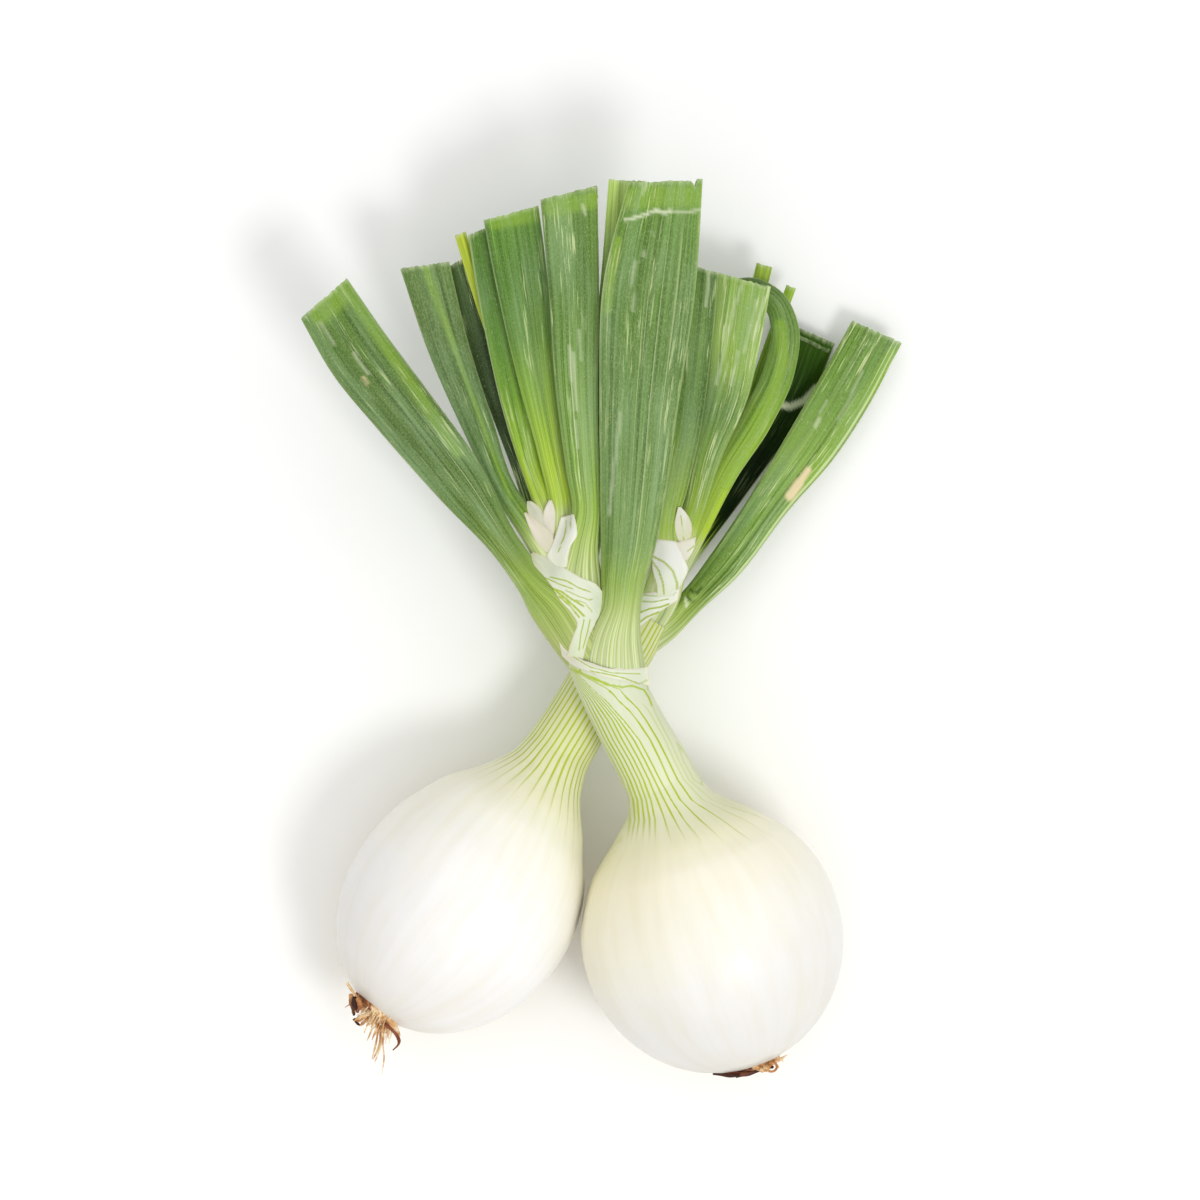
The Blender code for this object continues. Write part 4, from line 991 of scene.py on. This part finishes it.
def leaf_piece(name, nodes, leaf, wear_and_light, seed):
    rings, run, blade, green, sheath_end, cut_rim = leaf_rings(leaf, seed)
    full = np.ones((len(run), LEAF_SIDES))
    leafy = shade_along(tuple(zip(np.linspace(0, 1, len(leaf["shades"])), leaf["shades"])), blade)
    pale = shade_along(tuple(enumerate(leaf.get("sheath", SHEATH_SHADES))),
                       np.clip(run / max(sheath_end, 1.0), 0, 1))
    mixed = pale + (leafy * LEAF_TONE - pale) * green[:, None]
    # The hollow inside the cut end gets painted shade.
    hollow_shade = np.zeros(len(run))
    hollow_shade[-1] = HOLLOW_SHADE
    half_width = max(row[4] for row in leaf["route"]) / 2
    side_edge_bloom_and_highlight = ease(np.abs(np.cos(LEAF_ANGLES)), 0.93, 1.0)[None] * green[:, None] * full
    stripe_fade = 1 - ease(run, sheath_end + STRIPES_FADE[0], sheath_end + STRIPES_FADE[1])
    marked = {label: strength * painted(rings, wear_and_light.get(label, ()), FINEST_STROKE * (label == "chalk_and_glint"))
            for label, strength in WEAR_AND_LIGHT_STRENGTH.items()}
    marks = {
        "shade": mixed[:, None] * full[..., None],
        "stripe_shade": (mixed * 0.25 + linear(STRIPE_GREEN) * 0.75)[:, None] * full[..., None],
        "across": half_width * np.cos(LEAF_ANGLES)[None] * full,
        "along": run[:, None] * full,
        "seed": full * (seed * 3.7),
        "leafy": green[:, None] * full,
        "stripe": (leaf.get("stripes", USUAL_STRIPES) / math.pi
                   * np.arcsin(np.clip(np.cos(LEAF_ANGLES), -1, 1))[None] * full),
        "striped": STRIPE_STRENGTH * stripe_fade[:, None] * full,
        "edge": EDGE_PALE * np.maximum(side_edge_bloom_and_highlight, cut_rim),
        "scuffed": full * leaf.get("scuffed", 0.8),
        "waxed": full * leaf.get("waxed", 1.0),
        "painted_shine": marked["painted_shine"] * green[:, None],
        "bruise_and_hollow_shade": np.maximum(hollow_shade[:, None] * full, marked["bruise_and_hollow_shade"]),
        "tan": marked["tan"],
        "chalk_and_glint": np.maximum(marked["chalk_and_glint"], CUT_PALE * cut_rim),
    }
    return ring_skin(name, rings, marks, leaf.get("finish", leaf_finish), "leaf", *nodes)


leaf_pieces = []
for side, leaves, wears_and_light, first_seed in (("front", FRONT_LEAVES, FRONT_WEAR_AND_LIGHT, 1),
                                        ("back", BACK_LEAVES, BACK_WEAR_AND_LIGHT, 21)):
    for number, leaf in enumerate(leaves, 1):
        nodes = (f"{side}_leaf_{number}", f"{side}_bulb")
        leaf_pieces.append(leaf_piece(f"{side}_leaf_{number}_skin", nodes, leaf, wears_and_light.get(number, {}),
                                      first_seed + number - 1))
print("leaves:", len(leaf_pieces), "faces:", sum(len(piece.data.polygons) for piece in leaf_pieces))

# %% [markdown]
# The torn sheaths
# Where the leaves fan out, the dry white ends of older sheaths lie on the neck like scraps of wet paper.
# Each scrap is a thin sheet between two edges drawn in the picture. It is dropped on the skins
# below it and then drawn taut, so that it bridges the valleys between them as the real tissue does.

# %% Sheets of tissue
SHEET_STEP = 1.3            # pixels between the points of a sheet
SHEET_THICKNESS = 0.25
SHEET_LIFT = 0.22
TAUT_ROUNDS = 40
TAUT_SOFTENING = 3          # rounds of smoothing after it is drawn taut
EDGE_DROP, EDGE_WIDTH = 0.12, 2.0   # millimetres that the edge sinks, over this many pixels
RIM_COVER = 0.8
SHEET_RIBS = (0.55, 0.03)   # ribs in a pixel across and along
SHEET_ROUGHNESS = 0.5


def drawn_line(pixels, count):
    """Even points along a smooth line through given pixels."""
    fine = smooth_rows(pixels, np.linspace(0, len(pixels) - 1, 300))
    run = np.concatenate(([0.0], np.cumsum(np.linalg.norm(np.diff(fine, axis=0), axis=1))))
    even = np.linspace(0.0, run[-1], count)
    return np.stack([np.interp(even, run, column) for column in fine.T], 1)


def at_height(pixels, heights):
    """The points in route millimetres that the camera sees at pixels, at heights over the floor."""
    scale = PIXEL * (1 - heights / CAMERA_HEIGHT)
    x, y = (pixels[..., 0] - PICTURE / 2) * scale, (PICTURE / 2 - pixels[..., 1]) * scale
    return np.stack((x, y, heights), -1)


def heights_under(pixels, carriers):
    """The height of the highest carrier under each pixel."""
    camera_place = Vector((0.0, 0.0, CAMERA_HEIGHT))
    heights = np.full(pixels.shape[:-1], np.nan)
    for place in np.ndindex(heights.shape):
        way = Vector(at_height(pixels[place], np.array(0.0))) - camera_place
        hits = [skins[carrier].ray_cast(camera_place, way.normalized())[0] for carrier in carriers]
        heights[place] = max((hit.z for hit in hits if hit), default=np.nan)
    return np.where(np.isnan(heights), np.nanmin(heights), heights)


def neighbours_mean(heights):
    padded = np.pad(heights, 1, mode="edge")
    return (padded[:-2, 1:-1] + padded[2:, 1:-1] + padded[1:-1, :-2] + padded[1:-1, 2:]) / 4


def tissue_sheet(name, node, carriers, left, right, shades, rim="ddd3b2", veins=(), curl=0.0):
    """A thin sheet between two drawn edges, from its base to its tip, lying on its carriers."""
    length = sum(math.dist(a, b) for a, b in zip(left, left[1:]))
    width = max(math.dist(a, b) for a, b in zip(drawn_line(left, 9), drawn_line(right, 9)))
    rows, columns = max(8, round(length / SHEET_STEP)), max(7, round(width / SHEET_STEP))
    left, right = drawn_line(left, rows), drawn_line(right, rows)
    part, along = np.linspace(0, 1, columns), np.linspace(0, 1, rows)
    pixels = left[:, None] + (right - left)[:, None] * part[None, :, None]
    under = heights_under(pixels, carriers)
    taut = under
    for _ in range(TAUT_ROUNDS):
        taut = np.maximum(under, neighbours_mean(taut))
    for _ in range(TAUT_SOFTENING):
        taut = neighbours_mean(taut)
    wide = np.linalg.norm(right - left, axis=1)[:, None]
    to_edge = np.minimum(np.minimum(part, 1 - part)[None] * wide, ((1 - along) * length)[:, None])
    taut = taut + SHEET_LIFT + curl * ease(along, 0.5, 1.0)[:, None]
    taut = taut - EDGE_DROP * (1 - ease(to_edge, 0.0, EDGE_WIDTH))
    points = np.concatenate((at_height(pixels, taut), at_height(pixels, taut - SHEET_THICKNESS)), 0)
    number = np.arange(2 * rows * columns).reshape(2 * rows, columns)
    faces = []
    for first in (0, rows):
        block = number[first:first + rows]
        corners = np.stack((block[:-1, :-1], block[1:, :-1], block[1:, 1:], block[:-1, 1:]), -1)
        faces += corners.reshape(-1, 4).tolist()
    border = [*number[0, :-1], *number[:rows - 1, -1], *number[rows - 1, :0:-1], *number[rows - 1:0:-1, 0]]
    below = rows * columns
    for here, after in zip(border, border[1:] + border[:1]):
        faces.append((int(here), int(after), int(after + below), int(here + below)))
    stops = tuple(zip(np.linspace(0, 1, len(shades)), shades))
    shade = shade_along(stops, along)[:, None] * np.ones((1, columns, 1))
    shade = shade + (linear(rim) - shade) * (RIM_COVER * (1 - ease(to_edge, 0.3, 1.8)))[..., None]
    marks = {
        "shade": shade,
        "vein_shade": np.ones((rows, columns, 1)) * linear(VEIN_GREEN),
        "striped": np.zeros((rows, columns)),
        "spacing": np.ones((rows, columns)),
        "dull": np.full((rows, columns), SHEET_ROUGHNESS),
        "vein": painted(points[:rows], veins),
        "growth": np.stack((part[None] * wide * SHEET_RIBS[0],
                            along[:, None] * length * SHEET_RIBS[1] * np.ones((1, columns)),
                            np.full((rows, columns), float(left[0, 0]))), -1),
    }
    doubled = {label: np.concatenate((values, values)).reshape(2 * below, *values.shape[2:])
               for label, values in marks.items()}
    return finished_piece(name, points.reshape(-1, 3), faces, doubled, skin_finish, "bulb_skin", node)


print("a sheet is", SHEET_THICKNESS, "mm thick and lies", SHEET_LIFT, "mm clear")

# %% [markdown]
# Six scraps lie at the front neck. Their outlines are pixels of the picture, so each is seen where the
# real one is, and dropping them on the skins gives them their heights. The long one wraps from the side
# of leaf 3 down to the mouth of the neck, and the last is the mouth's own thin rim.

# %% Scraps at the front neck
FRONT_FAN = ["front_bulb_scale"] + [f"front_leaf_{number}_skin" for number in (3, 4, 5, 6, 7, 8, 9)]
NECK_RIM_CARRIERS = ["front_bulb_scale"] + [f"front_leaf_{number}_skin" for number in (2, 3, 4)]
FRONT_SCRAPS = {
    "scrap_behind_leaf_8": {
        "left": [(534, 523), (529, 515), (527, 508), (527, 501)],
        "right": [(545, 528), (544, 514), (537, 505), (531, 501)],
        "shades": ("e2e2c8", "dedec4", "e0dfca"), "curl": 0.4},
    "scrap_under_leaf_7": {
        "left": [(547, 553), (538, 544), (529, 527), (524, 513)],
        "right": [(553, 546), (553, 535), (541, 524), (526, 512)],
        "shades": ("d9d6b8", "e4dcc6", "e6dcc6")},
    "pointed_scrap": {
        "left": [(547, 541), (543, 524), (544, 511), (549, 500)],
        "right": [(553, 540), (555, 526), (555, 510), (552, 500)],
        "shades": ("e6dfc6", "eae4d0", "eeeadc"), "curl": 0.6},
    "scrap_under_leaf_6": {
        "left": [(556, 567), (547, 556), (552, 544), (557, 530), (561, 517)],
        "right": [(567, 567), (571, 546), (577, 535), (577, 528), (574, 514)],
        "shades": ("ecf1d4", "f3f5e2", "f1f3e0"), "curl": 0.3,
        "veins": [(0.5, [(566, 520), (565, 535), (558, 552)]), (0.4, [(571, 518), (570, 532)])]},
    "white_sheath_of_leaf_3": {
        "left": [(531, 554), (533, 563), (542, 574), (552, 587), (560, 600), (572, 614), (577, 623),
                 (573, 636), (569, 648), (567, 657)],
        "right": [(533, 552), (546, 557), (565, 568), (580, 577), (597, 585), (604, 596), (602, 610),
                  (595, 624), (588, 640), (583, 660)],
        "shades": ("d6dabc", "e0e6cc", "e4ead0", "e0e8ca", "dbe3bd"),
        "veins": [(1.0, [(552, 588), (562, 592), (570, 598), (583, 606)]),
                  (1.1, [(556, 591), (566, 599), (576, 608), (584, 616)]),
                  (0.9, [(559, 596), (570, 606), (579, 617)]),
                  (0.7, [(550, 577), (567, 581), (579, 588), (590, 592)]),
                  (0.6, [(546, 578), (559, 584), (573, 589)]),
                  (0.6, [(584, 620), (581, 634), (579, 650)]),
                  (0.6, [(590, 620), (587, 634), (583, 648)]),
                  (0.5, [(575, 600), (585, 603), (592, 612)]),
                  (0.5, [(565, 590), (578, 596), (590, 600), (598, 598)])]},
    "rim_of_the_neck": {
        "carriers": NECK_RIM_CARRIERS,
        "left": [(559, 642), (566, 650), (578, 658), (592, 663), (608, 668), (628, 669), (648, 667)],
        "right": [(562, 656), (572, 665), (586, 671), (602, 676), (620, 680), (636, 683), (650, 686)],
        "shades": ("e3dec7", "e8ead2", "e6ebcf", "e4eacd"), "rim": "e6dcc4",
        "veins": [(0.6, [(590, 671), (607, 674), (624, 678), (640, 684), (647, 680)]),
                  (0.5, [(570, 655), (590, 667), (612, 673), (640, 674)])]},
}
for name, scrap in FRONT_SCRAPS.items():
    tissue_sheet(name, "front_bulb", **{"carriers": FRONT_FAN, **scrap})
print("scraps at the front neck:", len(FRONT_SCRAPS))

# %% [markdown]
# Four more lie at the back neck: the white sheath of leaf 4, two scraps beside leaf 5, and the rim where
# leaf 1 leaves the neck. They are made in the same way.

# %% Scraps at the back neck
BACK_FAN = ["back_bulb_scale"] + [f"back_leaf_{number}_skin" for number in (1, 2, 4, 5, 6, 7)]
BACK_SCRAPS = {
    "white_sheath_of_leaf_4": {
        "left": [(656, 598), (654, 580), (652, 562), (654, 549), (657, 539)],
        "right": [(674, 596), (683, 582), (688, 570), (683, 556), (676, 541)],
        "shades": ("e4eaca", "f0f4e0", "f8f9f0", "f5f6ea"),
        "veins": [(1.0, [(652, 556), (664, 562), (673, 571), (677, 583), (677, 591)]),
                  (0.9, [(651, 560), (659, 571), (663, 583), (664, 594)]),
                  (0.6, [(652, 572), (656, 583), (657, 595)]), (0.5, [(648, 566), (651, 580), (651, 594)])]},
    "scrap_beside_leaf_5": {
        "left": [(681, 560), (676, 551), (674, 543)], "right": [(688, 560), (694, 549), (696, 537)],
        "shades": ("eae8d4", "efecda", "ebe7d2"), "veins": [(0.5, [(688, 551), (694, 546)])]},
    "pointed_scrap_beside_leaf_5": {
        "left": [(680, 544), (675, 533), (675, 521), (678, 507)],
        "right": [(691, 537), (692, 526), (687, 514), (681, 507)],
        "shades": ("dfe0b8", "e6e5ce", "ebeadc"), "curl": 0.6,
        "veins": [(0.5, [(684, 540), (682, 528), (681, 516)])]},
    "rim_of_leaf_1": {
        "left": [(634, 596), (652, 592), (664, 591), (680, 588)],
        "right": [(632, 634), (646, 622), (660, 612), (678, 600)],
        "shades": ("ecf1da", "f1f4e2", "f0f2e0"), "rim": "e2d4b4",
        "veins": [(0.9, [(634, 615), (649, 609), (661, 607), (669, 604)]),
                  (0.9, [(635, 626), (647, 617), (659, 612)]), (0.6, [(634, 601), (654, 602), (668, 599)]),
                  (0.5, [(640, 595), (655, 596), (670, 594)])]},
}
for name, scrap in BACK_SCRAPS.items():
    tissue_sheet(name, "back_bulb", carriers=BACK_FAN, **scrap)
print("scraps at the back neck:", len(BACK_SCRAPS))

# %% [markdown]
# The roots
# Under each bulb the dry roots and the brown plate that they grew from are left. They are dead and corky:
# matte, tan to dark brown, and torn to fibres. Each root is a thin strand. The ones that the picture
# shows are placed one by one, and the rest of the plate is filled with strands of random length and lean.

# %% Dry root finish
def dry_root():
    made, tree, shader = new_finish("dry_onion_root")
    place = add(tree, "TexCoord", {}, 3)
    fibre = add(tree, "TexNoise", {"Vector": place, "Scale": 1100.0, "Detail": 4.0})
    patch = add(tree, "TexNoise", {"Vector": place, "Scale": 260.0, "Detail": 2.0})
    shade = add(tree, "Attribute", {}, COLOUR, attribute_name="shade")
    brown = add(tree, "Mix", {0: 1.0, 6: shade, 7: "d2ac86"}, 2, data_type="RGBA", blend_type="MULTIPLY")
    tone = add(tree, "Mix", {0: add(tree, "MapRange", {0: patch, 1: 0.42, 2: 0.62}), 6: shade, 7: brown}, 2,
               data_type="RGBA")
    marked = add(tree, "Mix", {0: add(tree, "MapRange", {0: fibre, 1: 0.45, 2: 0.65, 3: 0.0, 4: 0.5}),
                             6: tone, 7: brown}, 2, data_type="RGBA")
    bump = add(tree, "Bump", {"Height": fibre, "Strength": 0.6, "Distance": 0.0003})
    connect(tree, shader, Base_Color=marked, Roughness=0.8, Normal=bump, IOR=1.45)
    return made


root_finish = dry_root()
print("finish:", root_finish.name)

# %% [markdown]
# The roots that the picture shows can't come from a rule, so they are written down: where each runs, how
# high it lies, how thick it is and how its shade changes. Hair curves would be quicker, but a mesh is what
# other programs can use.

# %% Roots given one by one
CREAM, TAN, BROWN, DARK = "f8e6be", "cc9a62", "8e5236", "462414"
# Pixels, height over the floor at both ends, radius in millimetres, shade at both ends.
BACK_STRANDS = [
    ([(370, 1018), (367, 1026), (364, 1033)], (40, 35), 0.28, CREAM, CREAM),
    ([(373, 1021), (371, 1031), (367, 1041)], (39, 32), 0.30, CREAM, CREAM),
    ([(377, 1024), (375, 1032), (372, 1040)], (38, 33), 0.34, CREAM, CREAM),
    ([(379, 1025), (376, 1043), (372, 1059)], (38, 26), 0.36, TAN, CREAM),
    ([(381, 1026), (379, 1045), (373, 1060)], (36, 24), 0.34, CREAM, CREAM),
    ([(383, 1026), (381, 1044), (375, 1062)], (38, 25), 0.36, CREAM, CREAM),
    ([(384, 1027), (383, 1044), (384, 1058), (382, 1074)], (37, 22), 0.26, TAN, CREAM),
    ([(386, 1028), (388, 1034), (389, 1039)], (37, 33), 0.22, TAN, CREAM),
    ([(385, 1024), (392, 1030), (397, 1036), (399, 1041), (398, 1045), (393, 1050)], (41, 34), 0.55,
     BROWN, BROWN),
    ([(388, 1017), (393, 1024), (397, 1030), (399, 1036)], (42, 36), 0.95, CREAM, CREAM),
    ([(347, 983), (351, 989), (358, 998)], (42, 43), 0.50, CREAM, TAN),
    ([(351, 995), (352, 1004), (354, 1015)], (42, 38), 0.85, TAN, DARK),
    ([(355, 998), (355, 1006), (358, 1012)], (43, 40), 0.95, DARK, DARK),
    ([(358, 999), (360, 1006), (357, 1012)], (44, 41), 0.80, TAN, BROWN),
    ([(368, 1014), (360, 1017), (354, 1021)], (41, 38), 0.60, CREAM, CREAM),
    ([(366, 1016), (359, 1021), (355, 1019)], (40, 37), 0.40, CREAM, TAN),
    ([(354, 1019), (357, 1023), (361, 1026)], (37, 36), 0.45, DARK, DARK),
    ([(368, 1018), (363, 1023), (360, 1026)], (39, 36), 0.55, TAN, CREAM),
]
FRONT_STRANDS = [
    ([(740, 1075), (728, 1075), (713, 1074)], (42, 40), 0.75, DARK, DARK),
    ([(728, 1073), (742, 1074), (757, 1071)], (41, 42), 0.75, BROWN, DARK),
    ([(736, 1076), (748, 1074), (760, 1071)], (39, 41), 0.60, DARK, DARK),
    ([(759, 1069), (763, 1070), (767, 1071)], (42, 41), 0.80, CREAM, TAN),
    ([(764, 1067), (768, 1067), (772, 1064)], (43, 42), 0.70, CREAM, TAN),
    ([(767, 1067), (769, 1071), (774, 1071), (777, 1067), (775, 1063), (770, 1063), (767, 1067)],
     (42, 42), 0.42, TAN, TAN),
    ([(770, 1067), (774, 1067)], (41, 41), 0.55, DARK, DARK),
    ([(772, 1064), (779, 1060), (787, 1055)], (42, 39), 0.50, CREAM, CREAM),
    ([(776, 1064), (778, 1066), (779, 1068)], (42, 40), 0.25, TAN, CREAM),
]
print("strands drawn:", len(BACK_STRANDS), "and", len(FRONT_STRANDS))

# %% [markdown]
# The rest of a tuft follows a rule. Strands start on a spiral over the plate, which spreads them evenly,
# and each draws its own length, lean and bend. The plate itself is a low lumpy disc, dark where it is
# rotten and pale where it was cut.

# %% Root tufts
STRAND_SIDES = 7
PLATE_SIDES = 72
GOLDEN_TURN = math.radians(137.5)
PLATE_REACH = 0.85          # share of the plate's radius that strands start on
BARE_LENGTH = 0.35          # strands on the bare side are shorter by this
DROOP = 0.35
# How far out of the bulb the rings of a plate lie in millimetres, and their share of its radius.
PLATE_PROFILE = ((-1.0, 0.88), (0.2, 0.94), (0.8, 0.92), (1.5, 0.80), (1.9, 0.6), (1.7, 0.3), (1.4, 0.1))


def strand(path, radius, shade, tip_shade):
    """The rings of a thin strand that tapers along a path, and their shades."""
    places = np.linspace(0, len(path) - 1, 5 * len(path))
    path = smooth_rows(path, places)
    part = np.linspace(0, 1, len(path))
    forward = np.gradient(path, axis=0)
    forward /= np.linalg.norm(forward, axis=1)[:, None]
    side = np.cross(forward, (0.31, 0.17, 0.94))
    side /= np.linalg.norm(side, axis=1)[:, None]
    upward = np.cross(side, forward)
    angle = np.arange(STRAND_SIDES) * math.tau / STRAND_SIDES
    size = radius * (1 - 0.6 * part ** 2) * (1 + 0.18 * np.sin(9 * part + 5 * radius))
    rings = path[:, None] + size[:, None, None] * (np.cos(angle)[None, :, None] * side[:, None]
                                                   + np.sin(angle)[None, :, None] * upward[:, None])
    shades = shade_along(((0.0, shade), (1.0, tip_shade)), part)[:, None] * np.ones((1, STRAND_SIDES, 1))
    return rings, shades


def root_end(bulb):
    """The middle of a bulb's root end and the direction out of it."""
    outward = -np.array(bulb["to_neck"]) / np.linalg.norm(bulb["to_neck"])
    reach = bulb["root_length"] * math.cos(math.asin(bulb["plate_radius"] / bulb["radius"]))
    return np.array(bulb["middle"]) - (0, 0, LAY_DEPTH) + outward * reach, outward


def root_tuft(side, bulb, strands, count, longest, bare_until, plate_shades, seed):
    """A basal plate and all of its dry roots."""
    draw = random.Random(seed)
    middle, outward = root_end(bulb)
    across = np.cross(outward, (0, 0, 1.0))
    across /= np.linalg.norm(across)
    upward = np.cross(across, outward)
    angle = np.arange(PLATE_SIDES) * math.tau / PLATE_SIDES
    knobs = sum(draw.uniform(0.3, 1.0) / waves ** 0.5 * np.sin(waves * angle + draw.uniform(0, 6.3))
                for waves in range(3, 30))
    rings, shades = [], []
    for out, share in PLATE_PROFILE:
        lumps = np.array([draw.uniform(-0.22, 0.22) for _ in angle])
        radius = bulb["plate_radius"] * share * (1 + 0.012 * knobs)
        rings.append(middle + outward * (out + lumps[:, None] * (out > 0)) + radius[:, None] * (
            np.cos(angle)[:, None] * across + np.sin(angle)[:, None] * upward))
        seen = pixels_of(rings[-1])[:, 0]
        shades.append([linear(draw.choice(next(kinds for until, kinds in plate_shades if column < until)))
                       for column in seen])
    ring_skin(f"{side}_root_plate", np.array(rings), {"shade": np.array(shades)}, root_finish, "dry_root",
              f"{side}_roots")
    paths = [(at_height(np.array(pixels, float), np.linspace(*heights, len(pixels))), *rest)
             for pixels, heights, *rest in strands]
    for number in range(count):
        turn = number * GOLDEN_TURN
        reach = bulb["plate_radius"] * PLATE_REACH * math.sqrt((number + 0.5) / count)
        aside = across * math.cos(turn) + upward * math.sin(turn)
        start = middle + aside * reach + outward * 0.5
        length = draw.uniform(0.35, 1.0) * longest
        if pixels_of(start)[0] < bare_until:
            length *= BARE_LENGTH
        way = outward + aside * draw.uniform(0.1, 0.7) + across * draw.uniform(-0.3, 0.3)
        end = start + way * length - np.array((0, 0, DROOP)) * length
        bend = (start + end) / 2 + np.array([draw.uniform(-0.12, 0.12) * length for _ in range(3)])
        shade = draw.choice((CREAM, CREAM, CREAM, TAN))
        paths.append((np.array((start, bend, end)), draw.uniform(0.13, 0.30), shade, CREAM))
    points, faces, marks = [], [], []
    for path, radius, shade, tip_shade in paths:
        rings, shades = strand(path, radius, shade, tip_shade)
        first = sum(len(block) for block in points)
        faces += [[first + corner for corner in face] for face in ring_faces(len(rings), STRAND_SIDES)]
        points.append(ring_points(rings))
        marks.append(ring_points(shades))
    finished_piece(f"{side}_root_fibres", np.concatenate(points), faces, {"shade": np.concatenate(marks)},
                   root_finish, "dry_root", f"{side}_roots")
    return len(paths)


# Shades of the plates, by the column of pixels that each set ends at.
FRONT_PLATE = ((752, (DARK, DARK, BROWN)), (PICTURE, (TAN, CREAM)))
BACK_PLATE = ((357, (DARK, BROWN)), (372, (BROWN, TAN)), (PICTURE, (CREAM, TAN, CREAM)))
print("front strands:", root_tuft("front", FRONT_BULB, FRONT_STRANDS, 60, 2.2, 750, FRONT_PLATE, 11),
      "back strands:", root_tuft("back", BACK_BULB, BACK_STRANDS, 110, 6.0, 364, BACK_PLATE, 12))
